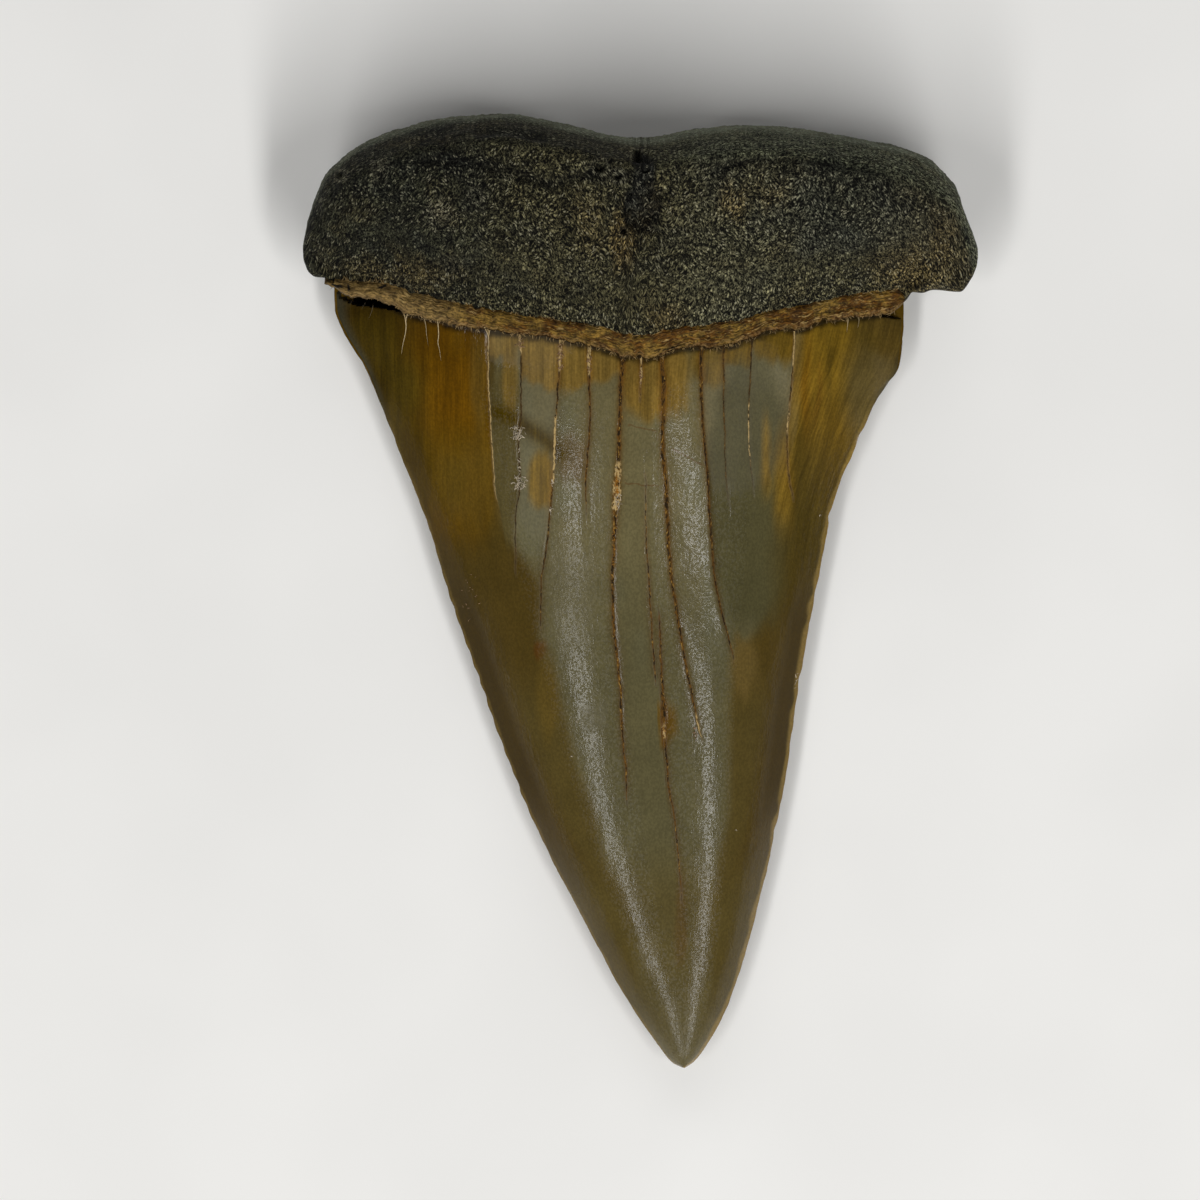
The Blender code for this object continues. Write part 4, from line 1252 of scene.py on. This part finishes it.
def root_tint(x, y, z, top):
    """The root's colour, with painted shade to the left and in its furrows, openings and hollows."""
    on_top = smooth_step(-0.6, 0.8, y - basal_edge(x) + CREST_INSET) * top
    rim = smooth_step(-0.9, -0.2, y - basal_edge(x)) * smooth_step(2.5, 6.0, z)
    layers = [
        # Partly the bone's own tone, partly painted shade: darker to the left and on the left of the top face
        (ROOT_DARK_AND_SHADE, smooth_step(-5.0, -14.0, x)),
        (ROOT_RIGHT, smooth_step(1.0, 5.0, x) * smooth_step(11.0, 7.0, x)),
        (ROOT_COOL, smooth_step(7.0, 11.0, x) * (1 - 0.9 * smooth_step(23.5, 20.5, y))),
        (ROOT_TAN, 0.2 * smooth_step(14.0, 20.0, x)),
        (ROOT_DARK_AND_SHADE, 0.7 * on_top * smooth_step(2.0, -4.0, x)),
        (ROOT_TOP, 0.8 * on_top * smooth_step(-2.0, 6.0, x)),
        (ROOT_RIM, 0.9 * rim),
    ]
    for patch in ROOT_PATCHES:
        layers.append((patch.colour, top * patch_share(patch, x, y)))
    # Painted shade in the furrows, openings and hollows
    for path, reach, _ in FURROWS:
        layers.append((ROOT_PIT_SHADE, 0.7 * top * hump(0.0, reach, distance_to(path, x, y))))
    for px, py, radius, depth in FORAMINA:
        away = np.hypot(x - px, y - py) / radius
        layers.append((ROOT_PALE, 0.5 * top * hump(1.5, 0.3, away)))
        layers.append((ROOT_PIT_SHADE, top * min(0.97, 1.4 * depth) * smooth_step(1.2, 0.8, away)))
    hollow = top * hollow_depth(x, y) / HOLLOWS[0][-1]
    lumps = smooth_step(-0.25, 0.35, noise(x, y, 8.0, 0.36))
    layers += [(ROOT_PIT_SHADE, np.minimum(1.0, 1.4 * hollow)), (ROOT_LUMP, 0.5 * hollow * lumps)]
    return layered(ROOT_MIDDLE, layers)


def make_root():
    """The root: a fine loft of sections from lobe to lobe with its relief pushed along its normals."""
    turns = np.linspace(-ROOT_END_TURN, ROOT_END_TURN, ROOT_SECTIONS)
    even = HALF_WIDTH * turns / ROOT_END_TURN
    round_ended = HALF_WIDTH * np.sin(turns * math.pi / 2) / math.sin(ROOT_END_TURN * math.pi / 2)
    rings, rims = [], []
    for x in 0.5 * (even + round_ended):
        outline, rim = root_section(float(x), ROOT_SPAN_STEPS)
        rings.append([(x, y, z) for y, z in outline])
        rims.append(rim)
    rings = np.array(rings)
    rims = np.array(rims)[:, None]
    x, y, z = rings[..., 0], rings[..., 1], rings[..., 2]
    top = smooth_step(0.0, 0.6, z - rims)
    rings[..., 2] += uneven(x, y) * (z > rims)
    number = np.arange(rings.shape[1])
    on_bone = np.clip(np.minimum(number / 6, (sum(ROOT_SPAN_STEPS) + 4 - number) / 6), 0.0, 1.0)
    at_ends = 0.3 + 0.7 * smooth_step(0.0, 0.6, HALF_WIDTH - np.abs(x))
    relief = root_relief(x, y, z, top) * on_bone * at_ends
    rings = rings + normals_of(rings) * relief[..., None]
    rings[..., 2] = np.maximum(rings[..., 2], 0.02)
    root = loft("root", rings, root_material())

    steps = np.linalg.norm(np.diff(rings, axis=1, append=rings[:, :1]), axis=-1)
    length = np.cumsum(steps, axis=1) - steps
    length = length - length[:, sum(ROOT_SPAN_STEPS[:6])][:, None]
    store(root, "flow", np.stack([x, length, 0 * x], axis=-1))
    store(root, "tint", root_tint(x, y, z, top))
    near_neck = smooth_step(5.0, 0.5, y - neck_edge(x) - BAND_WIDTH) * top
    on_basal = smooth_step(-0.5, 0.8, y - (basal_edge(x) - CREST_INSET))
    calm = smooth_step(-1.1, -0.2, y - basal_edge(x))
    store(root, "finish", np.stack([near_neck, on_basal, calm], axis=-1))
    return root


def grains(s, coordinates, across_rate, along_rate):
    """Long grains, each with its own brightness, as many to a millimetre across and along as given."""
    inputs = {"Vector": s.stretch(coordinates, (across_rate, along_rate, 1.0)), "Scale": 1.0}
    away = s.node("TexVoronoi", inputs, "Distance", feature="F1", voronoi_dimensions="2D")
    own = s.parts(away.sibling("Color"))[0]
    ragged = s.noise(coordinates, (10.0, 6.0, 1.0), 1.0, 0.6)
    return s.ramp((ragged - 0.5) * 0.9 + away, 0.44, 0.2) * s.ramp(own, 0.2, 0.8, 0.0, 1.0)


def root_material():
    """Matt fossil bone: dark, densely set with pale grains that run down to the neck."""
    s = Surface("root")
    place = s.place()
    near_neck, on_basal, calm = s.parts(s.attribute("finish"))
    wander = s.noise(place, 1.4, output="Color")
    inputs = (wander, (0.5, 0.5, 0.0), s.attribute("flow"))
    flow = s.node("VectorMath", inputs, operation="MULTIPLY_ADD")
    slanted = grains(s, s.turn(flow, 35), 7.2, 3.2)
    slanted_back = grains(s, s.turn(flow, -40), 7.2, 3.2)
    flecks = between(slanted, slanted_back, s.ramp(s.noise(place, 0.7), 0.45, 0.55))
    flecks = between(flecks, grains(s, flow, 7.4, 2.7), near_neck)
    flecks = between(flecks, grains(s, flow, 3.2, 7.2), on_basal * 0.85)
    winding = s.math("ABSOLUTE", s.noise(flow, (4.6, 3.0, 1.0), 2.0, 0.6) - 0.5)
    flecks = s.highest(flecks, s.ramp(winding, 0.05, 0.0, 0.0, 0.6))
    fine = s.ramp(s.noise(flow, (8.0, 5.0, 1.0), 1.0, 0.6), 0.35, 0.65, 0.5, 1.5)
    mottle = s.ramp(s.noise(place, 2.2, 2.0, 0.6), 0.36, 0.64, 0.6, 1.35)
    broad = s.ramp(s.noise(place, 0.6, 3.0, 0.6), 0.3, 0.7, 0.75, 1.25)
    contrast = between((flecks * 4.4 + 0.09) * fine * mottle, 1.0, calm * 0.75)

    tint = s.attribute("tint")
    hue = s.noise(place, 0.35, 3.0, 0.6)
    base = s.mix(s.ramp(hue, 0.5, 0.68), tint, s.mix(0.25, tint, ROOT_WARM))
    base = s.mix(s.ramp(hue, 0.48, 0.34), base, s.mix(0.25, tint, ROOT_COLD))
    base = s.scale(base, contrast * broad)
    # Painted glints: some of the brightest grains are lightened further, as if catching the light
    painted_glints = s.ramp(flecks, 0.6, 0.8) * s.ramp(s.noise(place, 2.5, 1.0), 0.45, 0.6)
    base = s.mix(painted_glints * 0.6, base, ROOT_PAINTED_GLINT)
    bump = s.bump(s.noise(place, 2.0, 2.0, 0.6), 0.12, s.bump(flecks, 0.08), 0.7)
    rough = s.ramp(flecks, 0.0, 0.8, 0.95, 0.75)
    return s.finish(Base_Color=base, Roughness=rough, Normal=bump, Specular_IOR_Level=0.12)


def rounded(gap, reach):
    """0 at an end, 1 from a reach inward, as a quarter circle rises."""
    return math.sqrt(1 - (1 - min(1.0, gap / reach)) ** 2)


def band_ring(x):
    """The neck band's section at x, from its upper border to under its lower one, as points (x, y, z) and as
    places (x, share of the way up, 0) on it."""
    outline, rim = root_section(x, ROOT_SPAN_STEPS)
    over = sorted(point for point in outline if point[1] > rim + 0.5)
    ends = rounded(x - BAND_UPPER[0][0], 1.6) * rounded(BAND_UPPER[-1][0] - x, 0.8)
    lower = band_lower(x) + 0.07 * noise(x, 0.0, 0.0, 0.5) + 0.08 * noise(x, 0.0, 4.0, 0.19)
    upper = band_upper(x) + 0.06 * noise(x, 7.0, 0.0, 0.6) + 0.08 * noise(x, 7.0, 4.0, 0.22)
    middle = (lower + upper) / 2
    lower, upper = between(middle, lower, ends), between(middle, upper, ends)
    width = upper - lower
    top_z = float(np.interp(upper, [point[0] for point in over], [point[1] for point in over]))
    neck_z = neck_height(x)
    under = float(crown_lingual(np.clip(across(x, lower), -1, 1), lower))
    low_z = max(under + 0.04, neck_z - 0.55)
    rise = BAND_RISE * ends
    profile = [
        (upper + 0.25, top_z - 0.3),
        (upper + 0.04, top_z - 0.02),
        (upper - 0.22 * width, between(top_z, neck_z, 0.25) + 0.6 * rise),
        (lower + 0.52 * width, neck_z + 0.9 * rise),
        (lower + 0.28 * width, neck_z + 0.75 * rise),
        (lower + 0.08 * width, neck_z + 0.25 * rise - 0.1),
        (lower, low_z + 0.1 * ends),
        (lower + 0.1, low_z - 0.1),
        (lower + 0.55, low_z - 0.45),
    ]
    line = through_spline(profile, BAND_SPAN_STEPS)
    return [(x, y, z) for y, z in line], [(x, (y - lower) / max(width, 0.2), 0.0) for y, z in line]


def make_neck_band():
    """The neck band: a raised strip of fibrous dentine whose edges are ragged."""
    places = np.linspace(BAND_UPPER[0][0] + 0.01, BAND_UPPER[-1][0] - 0.01, BAND_SECTIONS)
    sections = [band_ring(float(x)) for x in places]
    rings = np.array([ring for ring, flow in sections])
    flows = np.array([flow for ring, flow in sections])
    x, y = rings[..., 0], rings[..., 1]
    share = flows[..., 1]
    free = np.clip(1.3 - np.abs(share - 0.5) * 1.6, 0.0, 1.0)
    strands = 0.08 * noise(x * 0.45, share, 2.0, 0.16) + 0.05 * noise(x, share, 9.0, 0.3)
    rings[..., 2] += free * (strands + 0.07 * noise(x, y, 14.0, 0.45))
    band = loft("neck_band", rings, band_material())
    store(band, "flow", flows)
    return band, rings


def band_material():
    """Fibrous dentine, tan to orange-brown, streaked along its length."""
    s = Surface("neck_band")
    place = s.place()
    flow = s.attribute("flow")
    along, up, _ = s.parts(flow)
    strands = s.noise(flow, (0.8, 6.0, 1.0), 3.0, 0.6, 0.4)
    fine = s.noise(flow, (2.2, 13.0, 1.0), 2.0, 0.6, 0.3)
    grain = s.noise(place, 6.0, 2.0, 0.6)
    blotches = s.ramp(s.noise(place, 1.6, 2.0, 0.6), 0.36, 0.64, 0.64, 1.16)
    orange = s.ramp(strands + (s.noise(place, 0.7) - 0.5) * 0.8, 0.4, 0.56)
    base = s.mix(orange, BAND_TAN, BAND_ORANGE)
    base = s.mix(s.ramp(along, -14.0, -10.0, 0.75, 0.0), base, BAND_LEFT)
    base = s.scale(base, s.ramp(grain, 0.3, 0.7, 0.7, 1.3) * blotches * s.ramp(fine, 0.35, 0.65, 0.5, 1.4))
    layers = [
        (BAND_DARK, s.ramp(strands, 0.44, 0.34) * s.ramp(grain, 0.62, 0.42) * 0.85),
        (BAND_PALE, s.ramp(strands, 0.55, 0.63) * s.ramp(fine, 0.46, 0.6) * 0.75),
        (BAND_RIM, s.ramp(up, 0.3, 0.1) * s.ramp(grain, 0.42, 0.6) * 0.5),
        (BAND_SHADOW, s.ramp(up, 0.1, -0.02) * 0.85),
    ]
    for start, end in BAND_SPLITS:
        layers.append((BAND_SPLIT, s.line(place, start, end, 0.05)))
    for tone, share in layers:
        base = s.mix(share, base, tone)
    bump = s.bump(grain, 0.05, s.bump(strands, 0.2, s.bump(fine, 0.1)))
    rough = s.ramp(fine, 0.3, 0.7, 0.8, 0.6)
    return s.finish(Base_Color=base, Roughness=rough, Normal=bump, Specular_IOR_Level=0.15)


class Rods:
    """Thin closed rods, gathered for one mesh, with their colours."""

    def __init__(self):
        self.points, self.faces, self.tints = [], [], []

    def add(self, line, radius, sides, tint):
        """A rod along a line of points, thinning towards its far end."""
        line = np.array(line, float)
        along = np.gradient(line, axis=0)
        along /= np.linalg.norm(along, axis=1, keepdims=True)
        beside = np.cross(along, (0.0, 0.0, 1.0))
        beside /= np.maximum(np.linalg.norm(beside, axis=1, keepdims=True), 1e-6)
        above = np.cross(beside, along)
        radii = radius * (1 - 0.9 * np.linspace(0.0, 1.0, len(line)) ** 2)
        angles = (np.arange(sides) * 2 * math.pi / sides)[None, :, None]
        around = np.cos(angles) * beside[:, None] + np.sin(angles) * above[:, None]
        points = (line[:, None] + radii[:, None, None] * around).reshape(-1, 3)

        rings = sum(len(rod) for rod in self.points) + np.arange(len(points)).reshape(-1, sides)
        after = np.roll(rings, -1, axis=1)
        quads = np.stack([rings[:-1], after[:-1], after[1:], rings[1:]], axis=-1).reshape(-1, 4)
        self.faces += quads.tolist() + [rings[0, ::-1].tolist(), rings[-1].tolist()]
        self.points.append(points)
        self.tints.append(np.broadcast_to(tint, points.shape))


def on_enamel(front, x, y):
    """Height of the lingual face under a point."""
    row = int(np.clip(np.searchsorted(front.rows, y), 0, len(front.rows) - 1))
    return float(np.interp(x, front.x[row], front.z[row]))


def add_threads(rods, front):
    """The threads that hang from the band over the enamel."""
    for path, radius in THREADS:
        line = []
        for x, y in through_spline(path, [4] * (len(path) - 1)):
            line.append([x, y, max(on_enamel(front, x, y), on_enamel(front, x, y - 0.3)) + 0.6 * radius])
        line[0][2] += 0.35
        rods.add(line, radius, THREAD_SIDES, min(1.0, radius / 0.04) * linear(THREAD))


def add_hairs(rods, band_rings, dice):
    """The short hairs that fray from the band: two in three hang from its lower border."""
    lower, upper = band_rings[:, HANGING_FROM], band_rings[:, RISING_FROM]
    for number in range(HAIRS):
        hangs = number % 3 != 0
        edge = lower if hangs else upper
        start = edge[dice.integers(8, len(edge) - 8)]
        turn = math.radians(dice.normal(-90, 40) if hangs else dice.normal(90, 60))
        over_gap = hangs and GAP_REACH[0] < start[0] < GAP_REACH[1]
        length = HAIR_LENGTH * dice.uniform(0.5, 1.3) * (HAIR_OVER_GAP if over_gap else 1.0)
        end = start + length * np.array([math.cos(turn), math.sin(turn), 0.0])
        end[2] = start[2] - 0.1 if hangs else start[2] + 0.04
        middle = (start + end) / 2 + dice.normal(0, 0.04, 3) + np.array([0.0, 0.0, 0.05])
        shade = dice.uniform(0.45, 1.1)
        rods.add([start, middle, end], dice.uniform(0.014, 0.028), HAIR_SIDES, shade * linear(HAIR))


def add_crystals(rods, front, dice):
    """The small crystals of each crust, lying on the enamel at all angles."""
    for crust in CRUSTS:
        for _ in range(crust.count):
            x = crust.x + crust.across * float(np.clip(dice.normal(0, 0.6), -1.2, 1.2))
            y = crust.y + crust.along * dice.uniform(-1, 1)
            turn = dice.uniform(0, math.pi)
            length = crust.length * dice.uniform(0.5, 1.2)
            step = np.array([math.cos(turn), math.sin(turn), 0.0]) * length / 2
            middle = np.array([x, y, on_enamel(front, x, y) + 0.02])
            tilt = np.array([0.0, 0.0, dice.uniform(-0.02, 0.08)])
            tint = dice.uniform(0.5, 1.15) * linear(crust.tone)
            line = [middle - step, middle, middle + step + tilt]
            rods.add(line, dice.uniform(0.015, 0.03), HAIR_SIDES, tint)


def make_fibres(front, band_rings):
    """Threads and short hairs that fray from the neck band, and the crystals grown on the cracks."""
    dice = np.random.default_rng(11)
    rods = Rods()
    add_threads(rods, front)
    add_hairs(rods, band_rings, dice)
    add_crystals(rods, front, dice)
    fibres = add_mesh("fibres", np.concatenate(rods.points), rods.faces, fibre_material())
    store(fibres, "tint", np.concatenate(rods.tints)[:, None])
    return fibres


def fibre_material():
    """Pale dried fibre and mineral, a little mottled."""
    s = Surface("fibres")
    place = s.place()
    mottle = s.ramp(s.noise(place, 8.0, 2.0, 0.6), 0.3, 0.7, 0.75, 1.25)
    base = s.scale(s.attribute("tint"), mottle)
    bump = s.bump(s.noise(place, 12.0, 1.0), 0.02)
    return s.finish(Base_Color=base, Roughness=0.5, Normal=bump, Specular_IOR_Level=0.4)


def make_camera():
    """Looks straight down on the lingual face, framed as the photograph is."""
    data = bpy.data.cameras.new("camera")
    data.lens = LENS
    data.sensor_width = SENSOR
    data.clip_start = 0.01
    data.clip_end = 10.0
    camera = bpy.data.objects.new("camera", data)
    bpy.context.scene.collection.objects.link(camera)
    distance = PHOTO_WIDTH * LENS / SENSOR
    camera.location = (PHOTO_CENTRE[0] * MM, PHOTO_CENTRE[1] * MM, (OUTLINE_HEIGHT + distance) * MM)
    bpy.context.scene.camera = camera


def make_light(name, angle, tilt, size, power):
    """A rectangular soft light that faces the tooth, turned angle degrees to the right of overhead and then
    tilt degrees towards the root."""
    data = bpy.data.lights.new(name, "AREA")
    data.shape = "RECTANGLE"
    data.size, data.size_y = size
    data.energy = power
    light = bpy.data.objects.new(name, data)
    bpy.context.scene.collection.objects.link(light)
    angle, tilt = math.radians(angle), math.radians(tilt)
    direction = (math.cos(tilt) * math.sin(angle), math.sin(tilt), math.cos(tilt) * math.cos(angle))
    light.location = [LIGHT_DISTANCE * part for part in direction]
    light.rotation_euler = (-tilt, angle, 0.0)


def make_world():
    """Surroundings that are dim overhead and pale at the horizon."""
    world = Surface("world", bpy.data.worlds, "Background")
    up = world.parts(world.node("TexCoord", (), "Generated"))[2]
    bpy.context.scene.world = world.finish(Color=world.ramp(up, 0.0, SKY_REACH, SKY_LOW, SKY_HIGH))


def make_floor():
    """A pale floor, slightly mottled."""
    data = bpy.data.meshes.new("floor")
    corners = [(-1, -1), (1, -1), (1, 1), (-1, 1)]
    points = [(FLOOR_HALF * x, FLOOR_HALF * y, -FLOOR_DROP) for x, y in corners]
    data.from_pydata(points, [], [(0, 1, 2, 3)])
    floor = bpy.data.objects.new("floor", data)
    bpy.context.scene.collection.objects.link(floor)
    s = Surface("floor")
    mottle = s.ramp(s.noise(s.place(), 0.05), 0.3, 0.7)
    base = s.mix(mottle, *FLOOR_TONES)
    data.materials.append(s.finish(Base_Color=base, Roughness=0.75, Specular_IOR_Level=0.2))


def make_stage():
    """The floor, the lights and the surroundings."""
    make_floor()
    make_light("left_light", -SIDE_LIGHT_ANGLE, SIDE_LIGHT_TILT, SIDE_LIGHT_SIZE, LEFT_LIGHT_POWER)
    make_light("right_light", SIDE_LIGHT_ANGLE, SIDE_LIGHT_TILT, SIDE_LIGHT_SIZE, RIGHT_LIGHT_POWER)
    make_light("back_light", 0.0, BACK_LIGHT_TILT, BACK_LIGHT_SIZE, BACK_LIGHT_POWER)
    make_world()
    bpy.context.scene.view_settings.view_transform = "Standard"


def dress(piece):
    """The piece moves with the tooth and hides the solid that it stands for."""
    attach(piece, BODY)
    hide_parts(NODE)


make_camera()
make_stage()
face = lingual_face()
neck_band, rings_of_band = make_neck_band()
dress(make_root())
dress(neck_band)
dress(make_crown(face))
dress(make_fibres(face, rings_of_band))
